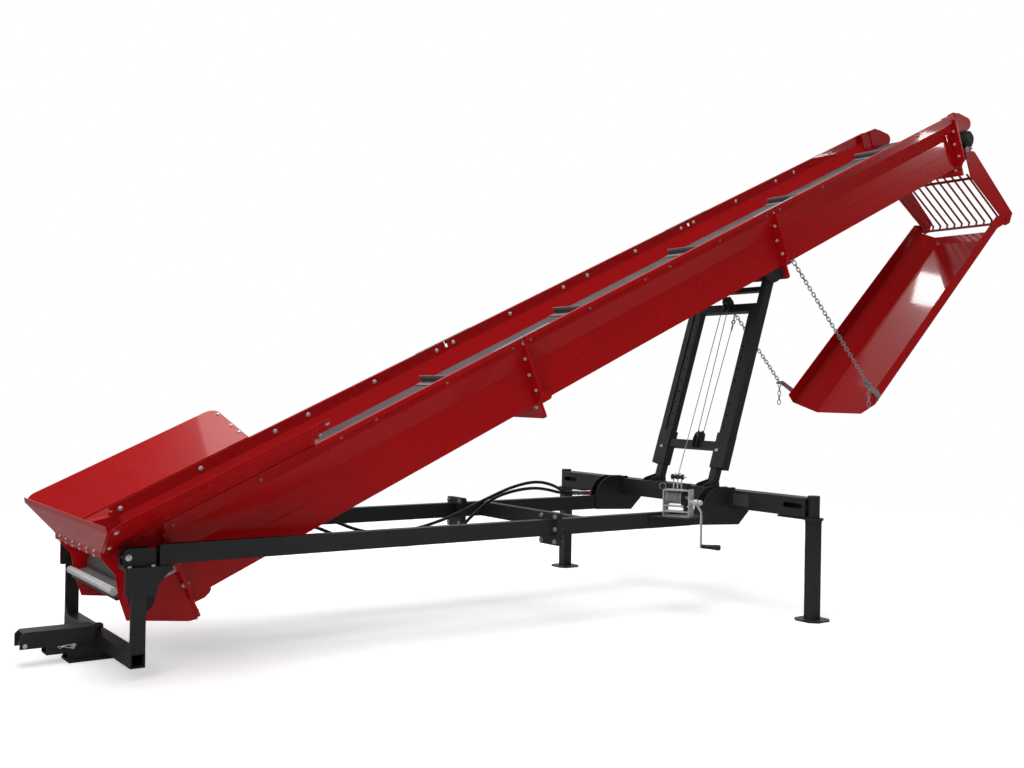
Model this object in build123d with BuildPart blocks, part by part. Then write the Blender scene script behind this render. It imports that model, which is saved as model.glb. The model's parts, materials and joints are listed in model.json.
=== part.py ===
"""A towed firewood conveyor, parked on its hitch and its two legs.

X runs from the hitch to the head of the conveyor, Y to the far side and Z up.
The origin is on the ground below the middle of the machine. Sizes are in millimetres.
"""
import math
import os

from build123d import *

os.makedirs("parts", exist_ok=True)

# Front of the frame: every place along the machine is measured from this cross beam's front face
front_x = -3026.0
front_tube = 60.0
front_wall = 5.0
front_beam_length = 1000.0
front_beam_bottom = 50.0
sides = (("near", -1), ("far", 1))

# Long side beams, in two lengths that are bolted end to end
beam_width = 50.0
beam_height = 80.0
beam_wall = 4.0
beam_outer_y = 488.0
beam_bottom = 458.0
beam_start = front_x + 116
beam_joint = front_x + 2133
beam_top = beam_bottom + beam_height
beam_pad = 50.0
beam_y = beam_outer_y - beam_width / 2
joint_plate = 15.0
joint_plate_width = 150.0
joint_plate_height = 162.0
joint_plate_y = 445.0
cross_member_x = front_x + 2295
cross_member_width = 50.0

# Rear cross beam and its two legs
rear_beam = 100.0
rear_wall = 5.0
rear_x = front_x + 3403
rear_clearance = 5.0
rear_bottom = beam_top + rear_clearance
rear_top = rear_bottom + rear_beam
rear_front = rear_x - rear_beam / 2
rear_back = rear_x + rear_beam / 2
leg_y = 1060.0
leg_tube = 60.0
leg_wall = 4.0
post_radius = 32.0
post_bore = 25.0
spigot_clearance = 0.3
cap_height = 8.0
foot_size = 160.0
foot_thickness = 8.0
foot_corner = 35.0
leg_plate = 10.0
leg_plate_gap = 0.4
post_lip = 4.0
leg_plate_reach = 220.0
leg_ring_radius = 44.0
leg_ring_height = 16.0
gusset_plate = 8.0
gusset_reach = 205.0
gusset_crown = 70.0
gusset_bulge = 36.0
rear_slot_y = 957.0
rear_slot_z = 598.0
rear_slot_length = 129.0
rear_slot_height = 28.0

# Uprights, saddles and clevises at the tail
upright_thickness = 15.0
upright_outer_y = 498.0
saddle_plate = 10.0
saddle_bottom = 338.0
saddle_top = 452.0
saddle_front = front_x - 25
saddle_back = front_x + 106
clevis_plate = 8.0
clevis_outer_y = 474.0
clevis_gap = 52.0
clevis_top = 527.0
pivot_x = front_x - 8
pivot_z = 492.0
pivot_radius = 14.0
pivot_clearance = 0.3
boss_radius = 26.0

# Conveyor: s runs up the rim from the rim's foot, n is square to it and falls below the rim
deck_angle = 24.86
rim_foot_x = front_x - 12
rim_foot_z = 530.0
rim_half = 384.0
rim_width = 18.0
rim_lip = 22.0
band_depth = 57.0
slope_depth = 157.0
side_half = 318.0
box_depth = 365.0
box_return = 25.0
sheet = 3.0
belt_top = 134.0
belt_thickness = 4.0
belt_half = 300.0
drum_radius = 67.0
drum_half = 295.0
shaft_radius = 20.0
tail_drum_s = 45.0
head_drum_s = 6262.0
flight_height = 38.0
flight_foot = 45.0
flight_thickness = 4.0
flight_half = 290.0
flight_count = 13
flight_start = 894.0
flange_s = (180.0, 2197.0, 4215.0, 6162.0)
flange_plate = 8.0
flange_top = 39.0
flange_bottom = 369.0
flange_cross_bottom = 450.0
flange_cross_half = side_half + 24
flange_cross_lap = 20.0
flange_corner = 15.0
flange_tab = 64.0
flange_tab_height = 54.0
flange_tab_corner = 20.0
tie_depth = 17.0
tie_width = 30.0

# Tail box and hopper
tail_plate = 5.0
tail_half = 338.0
scraper_radius = 16.0
scraper_x = front_x - 20
scraper_z = 336.0
hopper_sheet = 4.0
wing_foot = 380.0
wing_top_half = 690.0
wing_top_n = 150.0
wing_start = -20.0
wing_end = 945.0
wing_corner = 60.0
tail_hole_x = front_x + 92
tail_hole_z = 295.0
tail_hole_radius = 38.0
tensioner_n = -213.0
tensioner_start = 78.0
tensioner_radius = 6.0
tensioner_gap = 0.3
tensioner_block = 14.0

# Head and chute
head_half = 330.0
head_plate = 6.0
arm_half = 338.0
arm_plate = 8.0
grille_rail = 16.0
chute_pivot_x = front_x + 6284
chute_pivot_z = 2478.0
chute_angle = 43.44
chute_length = 1980.0
chute_start = 75.0
chute_half = 345.0
chute_floor_half = 185.0
chute_lip = 90.0
chute_wall_foot = 20.0
chute_floor = 70.0
chute_sheet = 4.0
grille_bars = 11
grille_bar = 10.0
grille_overrun = 40.0
chute_lead = 68.0
chute_lead_rise = 23.0

# Mast: w runs up the mast from its foot pin
mast_foot_x = front_x + 3488
mast_foot_z = 650.0
mast_top_x = front_x + 3885
mast_top_z = 1893.0
mast_tube = 50.0
mast_tube_depth = 44.0
mast_tube_wall = 4.0
mast_tube_y = 230.0
mast_tube_length = 1160.0
mast_slide_gap = 0.4
mast_channel_half = 302.0
mast_channel_depth = 56.0
mast_channel_wall = 5.0
mast_sleeve_depth = 60.0
mast_sleeve_start = 95.0
mast_sleeve_length = 215.0
mast_bar = 50.0
mast_hole_count = 8
mast_hole_start = 346.0
mast_hole_pitch = 73.0
mast_hole_radius = 6.5
mast_pin_radius = 12.0
mast_boss_wall = 4.5
mast_tube_tail = 25.0

# Pulleys for the winch cable: y across, fore in front of the mast's axis, place along it
top_pulley_y = -24.0
top_pulley_fore = -46.0
top_pulley_place = 1149.0
low_pulley_y = -40.0
low_pulley_fore = -12.0
low_pulley_place = 290.0
pulley_radius = 22.0
pulley_half = 9.0
pulley_pin_radius = 7.0
pulley_cheek = 5.0
pulley_cheek_half = 16.0

# Winch on the near beam, its drum square to the cable
winch_x = front_x + 2878
winch_y = -585.0
winch_z = 526.0
winch_turn = -62.2
winch_width = 147.0
winch_depth = 80.0
winch_height = 144.0
winch_plate = 5.0
winch_shelf = 6.0
winch_drum_radius = 36.0
winch_drum_height = 88.0
winch_hub_reach = 133.0
winch_hub_height = 79.0
winch_crank_arm = 272.0
winch_crank_width = 22.0
winch_crank_plate = 8.0
winch_grip = 116.0
winch_grip_radius = 15.5
guide_height = 211.0

# Hydraulic hoses on the frame
hose_radius = 9.0
coupling_radius = 13.0
coupling_length = 150.0

# Chains that hold the chute, one on each side
chain_y = 368.0
chain_anchor_s = 4255.0
chain_anchor_n = -355.0
chain_foot_x = front_x + 4722
chain_foot_z = 1266.0
chain_wire = 8.0
chain_link_length = 50.0
chain_link_width = 26.0
chain_link_corner = 7.0
chain_seat = 0.6
chain_clearance = 0.4
chain_pin_radius = 5.0

# Hydraulic motor on the near end of the head drum
motor_radius = 62.0
motor_length = 70.0

deck_rad = math.radians(deck_angle)
along = Vector(math.cos(deck_rad), 0, math.sin(deck_rad))
above = Vector(-math.sin(deck_rad), 0, math.cos(deck_rad))
mast_axis = Vector(mast_top_x - mast_foot_x, 0, mast_top_z - mast_foot_z)
mast_length = mast_axis.length
mast_up = mast_axis.normalized()
mast_fore = Vector(mast_up.Z, 0, -mast_up.X)


def save(piece, name):
    """Label a finished sub-part and write it as a STEP file."""
    piece.part.label = name
    export_step(piece.part, f"parts/{name}.step")


def side_plane(y):
    """The XZ plane at a height y; a positive extrusion runs to the near side."""
    return Plane(origin=(0, y, 0), x_dir=(1, 0, 0), z_dir=(0, -1, 0))


def deck_point(s, n):
    """A point on the machine's middle plane from its place along and above the rim line."""
    return Vector(rim_foot_x, 0, rim_foot_z) + along * s + above * n


def deck_side(y):
    """The conveyor's side view at a height y, with s to the right and n up."""
    foot = deck_point(0, 0)
    return Plane(origin=(foot.X, y, foot.Z), x_dir=tuple(along), z_dir=(0, -1, 0))


def deck_cut(s):
    """The conveyor's cross-section at s, with y to the right and n up."""
    return Plane(origin=tuple(deck_point(s, 0)), x_dir=(0, 1, 0), z_dir=tuple(along))


def mast_side(y):
    """The mast's side view at a height y, with its rearward side to the right and w up."""
    return Plane(origin=(mast_foot_x, y, mast_foot_z), x_dir=tuple(mast_fore), z_dir=(0, -1, 0))


def mast_cut(w):
    """The mast's cross-section at w, with its rearward side to the right and the far side up."""
    foot = Vector(mast_foot_x, 0, mast_foot_z) + mast_up * w
    return Plane(origin=tuple(foot), x_dir=tuple(mast_fore), z_dir=tuple(mast_up))


def hollow(width, depth, wall):
    """Draw a rectangular tube's section in the open sketch."""
    Rectangle(width, depth)
    Rectangle(width - 2 * wall, depth - 2 * wall, mode=Mode.SUBTRACT)


def outline(*points):
    """Draw a closed outline of straight sides in the open sketch."""
    Polygon(*points, align=None)


def link_ring(place):
    """Draw one chain link around a place on the chain, long along X, in the open sketch."""
    for inset, ring_mode in ((0, Mode.ADD), (chain_wire, Mode.SUBTRACT)):
        half_length = chain_link_length / 2 - inset
        half_width = chain_link_width / 2 - inset
        corner = chain_link_corner - inset / 2
        Polygon(
            (place - half_length, corner - half_width), (place - half_length + corner, -half_width),
            (place + half_length - corner, -half_width), (place + half_length, corner - half_width),
            (place + half_length, half_width - corner), (place + half_length - corner, half_width),
            (place - half_length + corner, half_width), (place - half_length, half_width - corner),
            align=None, mode=ring_mode,
        )


# Front cross beam
with BuildPart() as front_crossbeam:
    with BuildSketch(side_plane(front_beam_length / 2)):
        with Locations((front_x + front_tube / 2, front_beam_bottom + front_tube / 2)):
            hollow(front_tube, front_tube, front_wall)
    extrude(amount=front_beam_length)
save(front_crossbeam, "front_crossbeam")

# Hitch: an inverted channel that slips over a box on the cross beam
tongue_front = front_x - 317
tongue_half = 50.0
tongue_wall = 6.0
tongue_bottom = 76.0
tongue_top = 146.0
tongue_back = front_x - 12
tongue_pin_radius = 11.0
socket_half = 43.0
socket_front = front_x - 209
socket_bottom = 40.0
socket_wall = 6.0
socket_clearance = 0.3
socket_top = tongue_top - tongue_wall - socket_clearance
skid_thickness = 10.0
skid_half = 62.0
skid_front = front_x - 122
skid_back = front_x + 75
lock_pin_x = front_x - 103

with BuildPart() as hitch_tongue:
    with BuildSketch(side_plane(tongue_half)):
        outline(
            (tongue_front, tongue_bottom),
            (tongue_back, tongue_bottom),
            (tongue_back, tongue_top),
            (tongue_front + 18, tongue_top),
            (tongue_front, tongue_top - 18),
        )
    extrude(amount=2 * tongue_half)
    with BuildSketch(side_plane(tongue_half - tongue_wall)):
        outline(
            (tongue_front - 1, tongue_bottom - 1),
            (tongue_back + 1, tongue_bottom - 1),
            (tongue_back + 1, tongue_top - tongue_wall),
            (tongue_front - 1, tongue_top - tongue_wall),
        )
    extrude(amount=2 * (tongue_half - tongue_wall), mode=Mode.SUBTRACT)
    with BuildSketch(side_plane(tongue_half + 4)):
        with Locations((tongue_front + 20, tongue_bottom + 14)):
            Circle(tongue_pin_radius)
    extrude(amount=2 * (tongue_half + 4))
save(hitch_tongue, "hitch_tongue")

with BuildPart() as hitch_socket:
    with BuildSketch(Plane.YZ.offset(socket_front)):
        with Locations((0, (socket_bottom + socket_top) / 2)):
            hollow(2 * socket_half, socket_top - socket_bottom, socket_wall)
    extrude(amount=front_x - socket_front)
    with BuildSketch(Plane.XY):
        with Locations(((skid_front + skid_back) / 2, 0)):
            Rectangle(skid_back - skid_front, 2 * skid_half)
    extrude(amount=skid_thickness)
    for web_y in (-socket_half, socket_half - socket_wall):
        with BuildSketch(side_plane(web_y + socket_wall)):
            outline(
                (skid_front, skid_thickness),
                (skid_back, skid_thickness),
                (front_x + front_tube, front_beam_bottom),
                (front_x, front_beam_bottom),
                (front_x, socket_bottom),
                (skid_front, socket_bottom),
            )
        extrude(amount=socket_wall)
save(hitch_socket, "hitch_socket")

# Uprights with their saddles, and the clevises that carry the tail pivot
for side_name, side in sides:
    upright_middle_y = side * (upright_outer_y - upright_thickness / 2)
    saddle_middle_y = side * (upright_outer_y - saddle_plate / 2)
    with BuildPart() as upright:
        with BuildSketch(side_plane(upright_middle_y)):
            with Locations((front_x + front_tube / 2, (front_beam_bottom + front_tube + saddle_bottom) / 2)):
                Rectangle(front_tube, saddle_bottom - front_beam_bottom - front_tube)
        extrude(amount=upright_thickness / 2, both=True)
        with BuildSketch(side_plane(saddle_middle_y)):
            with Locations(((saddle_front + saddle_back) / 2, (saddle_bottom + saddle_top) / 2)):
                RectangleRounded(saddle_back - saddle_front, saddle_top - saddle_bottom, 8)
        extrude(amount=saddle_plate / 2, both=True)
        shelf_inner_y = clevis_outer_y - 2 * clevis_plate - clevis_gap
        with BuildSketch(Plane.XY.offset(saddle_top)):
            shelf_back = beam_start + beam_pad
            with Locations(((saddle_front + shelf_back) / 2, side * (upright_outer_y + shelf_inner_y) / 2)):
                Rectangle(shelf_back - saddle_front, upright_outer_y - shelf_inner_y)
        extrude(amount=-saddle_plate)
        with BuildSketch(side_plane(saddle_middle_y)):
            outline(
                (saddle_back, saddle_top),
                (shelf_back, saddle_top),
                (shelf_back, saddle_top - saddle_plate),
                (saddle_back, saddle_bottom + 40),
            )
        extrude(amount=saddle_plate / 2, both=True)
        gusset_y = side * (upright_outer_y - upright_thickness)
        with BuildSketch(Plane.YZ.offset(front_x)):
            with BuildLine():
                corner = (gusset_y, front_beam_bottom + front_tube)
                toe = (gusset_y - side * 45, corner[1])
                tip = (gusset_y, corner[1] + 60)
                Line(toe, corner)
                Line(corner, tip)
                RadiusArc(tip, toe, side * 90)
            make_face()
        extrude(amount=upright_thickness)
    save(upright, f"front_upright_{side_name}")

    with BuildPart() as clevis:
        base_z = saddle_top
        inner_cheek_y = clevis_outer_y - 2 * clevis_plate - clevis_gap
        with BuildSketch(Plane.XY.offset(base_z)):
            with Locations(((saddle_front + saddle_back) / 2, side * (clevis_outer_y + inner_cheek_y) / 2)):
                Rectangle(saddle_back - saddle_front, clevis_outer_y - inner_cheek_y)
        extrude(amount=clevis_plate)
        for cheek_y in (clevis_outer_y - clevis_plate / 2, inner_cheek_y + clevis_plate / 2):
            with BuildSketch(side_plane(side * cheek_y)):
                with Locations(((saddle_front + saddle_back) / 2, (base_z + clevis_top) / 2)):
                    RectangleRounded(saddle_back - saddle_front, clevis_top - base_z, 22)
                with Locations(((saddle_front + saddle_back) / 2, base_z + 12)):
                    Rectangle(saddle_back - saddle_front, 24)
            extrude(amount=clevis_plate / 2, both=True)
        with BuildSketch(side_plane(side * (tail_half + tail_plate))):
            with Locations((pivot_x, pivot_z)):
                Circle(pivot_radius)
        extrude(amount=-side * (clevis_outer_y + 6 - tail_half - tail_plate))
    save(clevis, f"tail_clevis_{side_name}")

# Long side beams: two tubes each, with the end plates that bolt them together
for side_name, side in sides:
    with BuildPart() as side_beam:
        for start, end in ((beam_start, beam_joint - joint_plate), (beam_joint + joint_plate, rear_back)):
            with BuildSketch(Plane.YZ.offset(start)):
                with Locations((side * beam_y, beam_bottom + beam_height / 2)):
                    hollow(beam_width, beam_height, beam_wall)
            extrude(amount=end - start)
        with BuildSketch(Plane.YZ.offset(beam_joint - joint_plate)):
            with Locations((side * joint_plate_y, beam_bottom + beam_height / 2 - 9)):
                Rectangle(joint_plate_width, joint_plate_height)
        extrude(amount=2 * joint_plate)
        with BuildSketch(Plane.XY.offset(beam_bottom)):
            with Locations((beam_start + beam_pad / 2, side * beam_y)):
                Rectangle(beam_pad, beam_width)
        extrude(amount=-(beam_bottom - saddle_top))
    save(side_beam, f"side_beam_{side_name}")

with BuildPart() as cross_member:
    with BuildSketch(side_plane(beam_y - beam_width / 2)):
        with Locations((cross_member_x + cross_member_width / 2, beam_bottom + beam_height / 2)):
            hollow(cross_member_width, beam_height, beam_wall)
    extrude(amount=2 * (beam_y - beam_width / 2))
save(cross_member, "cross_member")

# Rear cross beam with its two leg sockets
with BuildPart() as rear_crossbeam:
    with BuildSketch(side_plane(leg_y - post_radius / 2)):
        with Locations((rear_x, rear_bottom + rear_beam / 2)):
            hollow(rear_beam, rear_beam, rear_wall)
    extrude(amount=2 * (leg_y - post_radius / 2))
    for side_name, side in sides:
        for radius, bore_mode in ((post_radius, Mode.ADD), (post_bore, Mode.SUBTRACT)):
            with BuildSketch(Plane.XY.offset(rear_bottom - post_lip)):
                with Locations((rear_x, side * leg_y)):
                    Circle(radius)
            extrude(amount=rear_beam + 2 * post_lip, mode=bore_mode)
        with BuildSketch(Plane.YZ.offset(rear_front - 1)):
            with Locations((side * rear_slot_y, rear_slot_z)):
                SlotOverall(rear_slot_length, rear_slot_height)
        extrude(amount=rear_wall + 2, mode=Mode.SUBTRACT)
save(rear_crossbeam, "rear_crossbeam")

# Gussets that tie each side beam to the rear cross beam
gusset_foot = (rear_front - gusset_reach, beam_bottom - 2)
gusset_shoulder = (rear_front - gusset_reach, beam_top)
gusset_top = (rear_front - gusset_crown, rear_top + 16)
gusset_middle = Vector((gusset_shoulder[0] + gusset_top[0]) / 2, (gusset_shoulder[1] + gusset_top[1]) / 2)
gusset_out = Vector(gusset_shoulder[1] - gusset_top[1], gusset_top[0] - gusset_shoulder[0]).normalized()
for side_name, side in sides:
    with BuildPart() as gusset:
        for cheek_y in (beam_y + beam_width / 2 + gusset_plate / 2, beam_y - beam_width / 2 - gusset_plate / 2):
            with BuildSketch(side_plane(side * cheek_y)):
                with BuildLine():
                    ThreePointArc(gusset_shoulder, gusset_middle + gusset_out * gusset_bulge, gusset_top)
                    Polyline(
                        gusset_top,
                        (rear_back - 55, rear_top + 13),
                        (rear_back + 62, beam_top - 20),
                        (rear_back - 20, beam_bottom - 14),
                        gusset_foot,
                        gusset_shoulder,
                    )
                make_face()
                with Locations((rear_x, rear_bottom + rear_beam / 2)):
                    Rectangle(rear_beam, rear_beam, mode=Mode.SUBTRACT)
            extrude(amount=gusset_plate / 2, both=True)
    save(gusset, f"beam_gusset_{side_name}")

# Legs: each turns in its socket about its own upright axis
plate_top = rear_bottom - post_lip - leg_plate_gap
for side_name, side in sides:
    with BuildPart() as leg:
        with BuildSketch(Plane.XY):
            with Locations((rear_x, side * leg_y)):
                Rectangle(foot_size, foot_size)
            chamfer(vertices(), foot_corner)
        extrude(amount=foot_thickness)
        ring_bottom = plate_top - leg_plate - leg_ring_height
        with BuildSketch(Plane.XY.offset(foot_thickness)):
            with Locations((rear_x, side * leg_y)):
                hollow(leg_tube, leg_tube, leg_wall)
        extrude(amount=ring_bottom - foot_thickness)
        with BuildSketch(Plane.XY.offset(ring_bottom)):
            with Locations((rear_x, side * leg_y)):
                Circle(leg_ring_radius)
        extrude(amount=leg_ring_height)
        with BuildSketch(Plane.XY.offset(plate_top - leg_plate)):
            with Locations((rear_x, side * leg_y)):
                Circle(leg_ring_radius + 8)
            with Locations((rear_x, side * (leg_y - leg_plate_reach / 2))):
                Rectangle(2 * leg_ring_radius - 20, leg_plate_reach)
        extrude(amount=leg_plate)
        with BuildSketch(Plane.XY.offset(plate_top)):
            with Locations((rear_x, side * leg_y)):
                Circle(post_bore - spigot_clearance)
        extrude(amount=rear_beam + 2 * post_lip + 2 * leg_plate_gap)
        with BuildSketch(Plane.XY.offset(rear_top + post_lip + leg_plate_gap)):
            with Locations((rear_x, side * leg_y)):
                Circle(post_radius)
        extrude(amount=cap_height)
    save(leg, f"leg_{side_name}")

# Mast feet on the rear cross beam
ear_plate = 8.0
ear_clearance = 0.4
with BuildPart() as mast_feet:
    for side_name, side in sides:
        for ear_side in (-1, 1):
            ear_y = side * mast_tube_y + ear_side * (mast_tube / 2 + ear_clearance + ear_plate / 2)
            with BuildSketch(side_plane(ear_y)):
                outline(
                    (rear_back - 75, rear_top),
                    (rear_back - 60, rear_top + 16),
                    (mast_foot_x - 8, mast_foot_z + 30),
                    (mast_foot_x + 22, mast_foot_z + 14),
                    (mast_foot_x + 24, mast_foot_z - 20),
                    (rear_back, rear_top - 62),
                    (rear_back, rear_top),
                )
            extrude(amount=ear_plate / 2, both=True)
        with BuildSketch(side_plane(side * mast_tube_y)):
            with Locations((mast_foot_x, mast_foot_z)):
                Circle(mast_pin_radius)
        extrude(amount=mast_tube / 2 + ear_clearance + ear_plate + 5, both=True)
save(mast_feet, "mast_feet")

# Lower mast: two perforated tubes joined at their top
with BuildPart() as mast_tubes:
    for side_name, side in sides:
        with BuildSketch(mast_cut(-mast_tube_tail)):
            with Locations((0, side * mast_tube_y)):
                hollow(mast_tube_depth, mast_tube, mast_tube_wall)
        extrude(amount=mast_tube_length)
        with BuildSketch(side_plane(side * mast_tube_y)):
            with Locations((mast_foot_x, mast_foot_z)):
                Circle(mast_pin_radius + mast_boss_wall)
        extrude(amount=mast_tube / 2, both=True)
        with BuildSketch(side_plane(side * mast_tube_y)):
            with Locations((mast_foot_x, mast_foot_z)):
                Circle(mast_pin_radius + ear_clearance)
        extrude(amount=mast_tube / 2 + 1, both=True, mode=Mode.SUBTRACT)
    for place in range(mast_hole_count):
        hole_place = Vector(mast_foot_x, 0, mast_foot_z) + mast_up * (mast_hole_start + place * mast_hole_pitch)
        with BuildSketch(Plane(origin=tuple(hole_place), x_dir=(0, 1, 0), z_dir=tuple(mast_fore))):
            with Locations((-mast_tube_y, 0), (mast_tube_y, 0)):
                Circle(mast_hole_radius)
        extrude(amount=mast_tube_depth, both=True, mode=Mode.SUBTRACT)
    with BuildSketch(mast_side(mast_tube_y - mast_tube / 2)):
        with Locations((0, mast_tube_length - mast_tube_tail - mast_bar / 2)):
            hollow(mast_tube_depth, mast_bar, mast_tube_wall)
    extrude(amount=2 * mast_tube_y - mast_tube)
    bar_front = -mast_tube_depth / 2
    bar_top = mast_tube_length - mast_tube_tail
    for cheek_side in (-1, 1):
        with BuildSketch(mast_side(top_pulley_y + cheek_side * pulley_cheek_half)):
            outline(
                (bar_front, bar_top), (bar_front, bar_top - 45), (top_pulley_fore - 20, bar_top - 3),
                (top_pulley_fore - 24, top_pulley_place + 16), (top_pulley_fore, top_pulley_place + 29),
                (top_pulley_fore + 36, top_pulley_place + 11), (8, bar_top),
            )
        extrude(amount=pulley_cheek / 2, both=True)
    for sheave_half, sheave_radius in ((pulley_cheek_half + 8, pulley_pin_radius), (pulley_half, pulley_radius)):
        with BuildSketch(mast_side(top_pulley_y)):
            with Locations((top_pulley_fore, top_pulley_place)):
                Circle(sheave_radius)
        extrude(amount=sheave_half, both=True)
save(mast_tubes, "mast_tubes")

# Upper mast: two channels that slide on the tubes, with their sleeves and cross bars
channel_flange = 45.0
channel_start = mast_sleeve_start + mast_sleeve_length
sleeve_wall = 6.0
sleeve_inner_y = mast_tube_y - mast_tube / 2 - mast_slide_gap - sleeve_wall
mast_bar_place = mast_sleeve_start + 136
mast_top_boss = 20.0
with BuildPart() as mast_channels:
    for side_name, side in sides:
        with BuildSketch(mast_cut(channel_start)):
            flange_y = side * (mast_channel_half - channel_flange)
            web_y = side * (mast_channel_half - mast_channel_wall)
            outer_y = side * mast_channel_half
            flange_x = mast_channel_depth / 2
            wall_x = flange_x - mast_channel_wall
            outline(
                (-flange_x, flange_y), (-flange_x, outer_y), (flange_x, outer_y), (flange_x, flange_y),
                (wall_x, flange_y), (wall_x, web_y), (-wall_x, web_y), (-wall_x, flange_y),
            )
        extrude(amount=mast_length - channel_start)
        with BuildSketch(mast_cut(mast_sleeve_start)):
            with Locations((0, side * (mast_channel_half + sleeve_inner_y) / 2)):
                Rectangle(mast_sleeve_depth, mast_channel_half - sleeve_inner_y)
            with Locations((0, side * mast_tube_y)):
                tube_gap = 2 * mast_slide_gap
                Rectangle(mast_tube_depth + tube_gap, mast_tube + tube_gap, mode=Mode.SUBTRACT)
            pocket_start = mast_tube_y + mast_tube / 2 + mast_slide_gap + sleeve_wall
            pocket_end = mast_channel_half - mast_channel_wall
            with Locations((0, side * (pocket_start + pocket_end) / 2)):
                Rectangle(mast_tube_depth, pocket_end - pocket_start, mode=Mode.SUBTRACT)
        extrude(amount=mast_sleeve_length)
        with BuildSketch(mast_side(side * (mast_channel_half - mast_channel_wall / 2))):
            with Locations((0, mast_length)):
                Circle(mast_channel_depth / 2)
        extrude(amount=mast_channel_wall / 2, both=True)
    with BuildSketch(mast_side(sleeve_inner_y)):
        with Locations((0, mast_bar_place)):
            hollow(mast_tube_depth, mast_bar, mast_tube_wall)
    extrude(amount=2 * sleeve_inner_y)
    with BuildSketch(mast_side(mast_channel_half - mast_channel_wall)):
        with Locations((0, mast_length - 75)):
            Rectangle(30, 30)
        with Locations((0, mast_length)):
            Circle(mast_top_boss)
    extrude(amount=2 * (mast_channel_half - mast_channel_wall))
    bar_top = mast_bar_place + mast_bar / 2
    for cheek_side in (-1, 1):
        with BuildSketch(mast_side(low_pulley_y + cheek_side * pulley_cheek_half)):
            outline(
                (bar_front, bar_top), (bar_front, bar_top - 46), (bar_front - 18, bar_top - 41),
                (low_pulley_fore - 34, bar_top + 6), (low_pulley_fore - 24, low_pulley_place + 8),
                (low_pulley_fore, low_pulley_place + 30), (low_pulley_fore + 26, low_pulley_place + 12),
                (low_pulley_fore + 30, bar_top),
            )
        extrude(amount=pulley_cheek / 2, both=True)
    for sheave_half, sheave_radius in ((pulley_cheek_half + 8, pulley_pin_radius), (pulley_half, pulley_radius)):
        with BuildSketch(mast_side(low_pulley_y)):
            with Locations((low_pulley_fore, low_pulley_place)):
                Circle(sheave_radius)
        extrude(amount=sheave_half, both=True)
save(mast_channels, "mast_channels")

# Conveyor sections: folded sides, a bed under the belt and ties below it
section_names = ("section_tail", "section_middle", "section_head")
for index, section_name in enumerate(section_names):
    section_start = flange_s[index] + flange_plate
    section_end = flange_s[index + 1] - flange_plate
    section_length = section_end - section_start
    with BuildPart() as section:
        for side_name, side in sides:
            with BuildSketch(deck_cut(section_start)):
                inner = side_half - sheet
                outer = rim_half
                outline(
                    (side * outer, -rim_lip),
                    (side * outer, 0),
                    (side * (outer - rim_width - sheet), 0),
                    (side * (outer - rim_width - sheet), -band_depth),
                    (side * inner, -slope_depth),
                    (side * inner, -box_depth + sheet),
                    (side * (inner - box_return), -box_depth + sheet),
                    (side * (inner - box_return), -box_depth),
                    (side * side_half, -box_depth),
                    (side * side_half, -slope_depth + 1),
                    (side * (outer - rim_width), -band_depth),
                    (side * (outer - rim_width), -sheet),
                    (side * (outer - sheet), -sheet),
                    (side * (outer - sheet), -rim_lip),
                )
            extrude(amount=section_length)
        with BuildSketch(deck_cut(section_start)):
            with Locations((0, -(belt_top + belt_thickness + sheet / 2))):
                Rectangle(2 * (side_half - sheet), sheet)
        extrude(amount=section_length)
        for share in (0.2, 0.8):
            with BuildSketch(deck_side(side_half - sheet)):
                with Locations((section_start + share * section_length, -(box_depth - sheet - tie_depth / 2))):
                    Rectangle(tie_width, tie_depth)
            extrude(amount=2 * (side_half - sheet))
    save(section, section_name)

# Bolted flanges between the sections
for index, flange_name in enumerate(("tail_flange", "joint_flange_low", "joint_flange_high", "head_flange")):
    with BuildPart() as flange:
        with BuildSketch(deck_cut(flange_s[index] - flange_plate)):
            for side_name, side in sides:
                outline(
                    (side * rim_half, -flange_top),
                    (side * (rim_half - rim_width - sheet), -flange_top),
                    (side * (rim_half - rim_width - sheet), -band_depth),
                    (side * (side_half - sheet), -slope_depth),
                    (side * (side_half - sheet), -box_depth),
                    (side * (side_half - sheet), -flange_bottom),
                    (side * (side_half + 24), -flange_bottom),
                    (side * (rim_half - 4), -flange_bottom + 60),
                )
            if index in (0, 1, 2):
                with Locations((0, -(flange_bottom - flange_cross_lap + flange_cross_bottom) / 2)):
                    RectangleRounded(
                        2 * flange_cross_half, flange_cross_bottom - flange_bottom + flange_cross_lap, flange_corner,
                    )
            if index == 3:
                with Locations((0, -(flange_bottom + 12))):
                    Rectangle(2 * flange_cross_half, 24)
        extrude(amount=2 * flange_plate)
        if index in (1, 2):
            for side_name, side in sides:
                with BuildSketch(deck_side(side * (side_half + 30))):
                    with Locations((flange_s[index] + flange_plate + (flange_tab - flange_tab_corner) / 2, -(flange_bottom - 28))):
                        RectangleRounded(flange_tab + flange_tab_corner, flange_tab_height, flange_tab_corner)
                extrude(amount=4, both=True)
    save(flange, flange_name)

# Drums and the belt with its flights
for drum_name, drum_s, shaft_half in (
    ("tail_drum", tail_drum_s, tail_half - tail_plate),
    ("head_drum", head_drum_s, head_half - head_plate),
):
    with BuildPart() as drum:
        with BuildSketch(deck_side(drum_half)):
            with Locations((drum_s, -(belt_top + belt_thickness + drum_radius))):
                Circle(drum_radius)
        extrude(amount=2 * drum_half)
        with BuildSketch(deck_side(shaft_half)):
            with Locations((drum_s, -(belt_top + belt_thickness + drum_radius))):
                Circle(shaft_radius)
        extrude(amount=2 * shaft_half)
    save(drum, drum_name)

drum_axis_n = -(belt_top + belt_thickness + drum_radius)
belt_run = head_drum_s - tail_drum_s
belt_radius = drum_radius + belt_thickness
belt_arc = math.pi * belt_radius
belt_loop = 2 * belt_run + 2 * belt_arc


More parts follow.
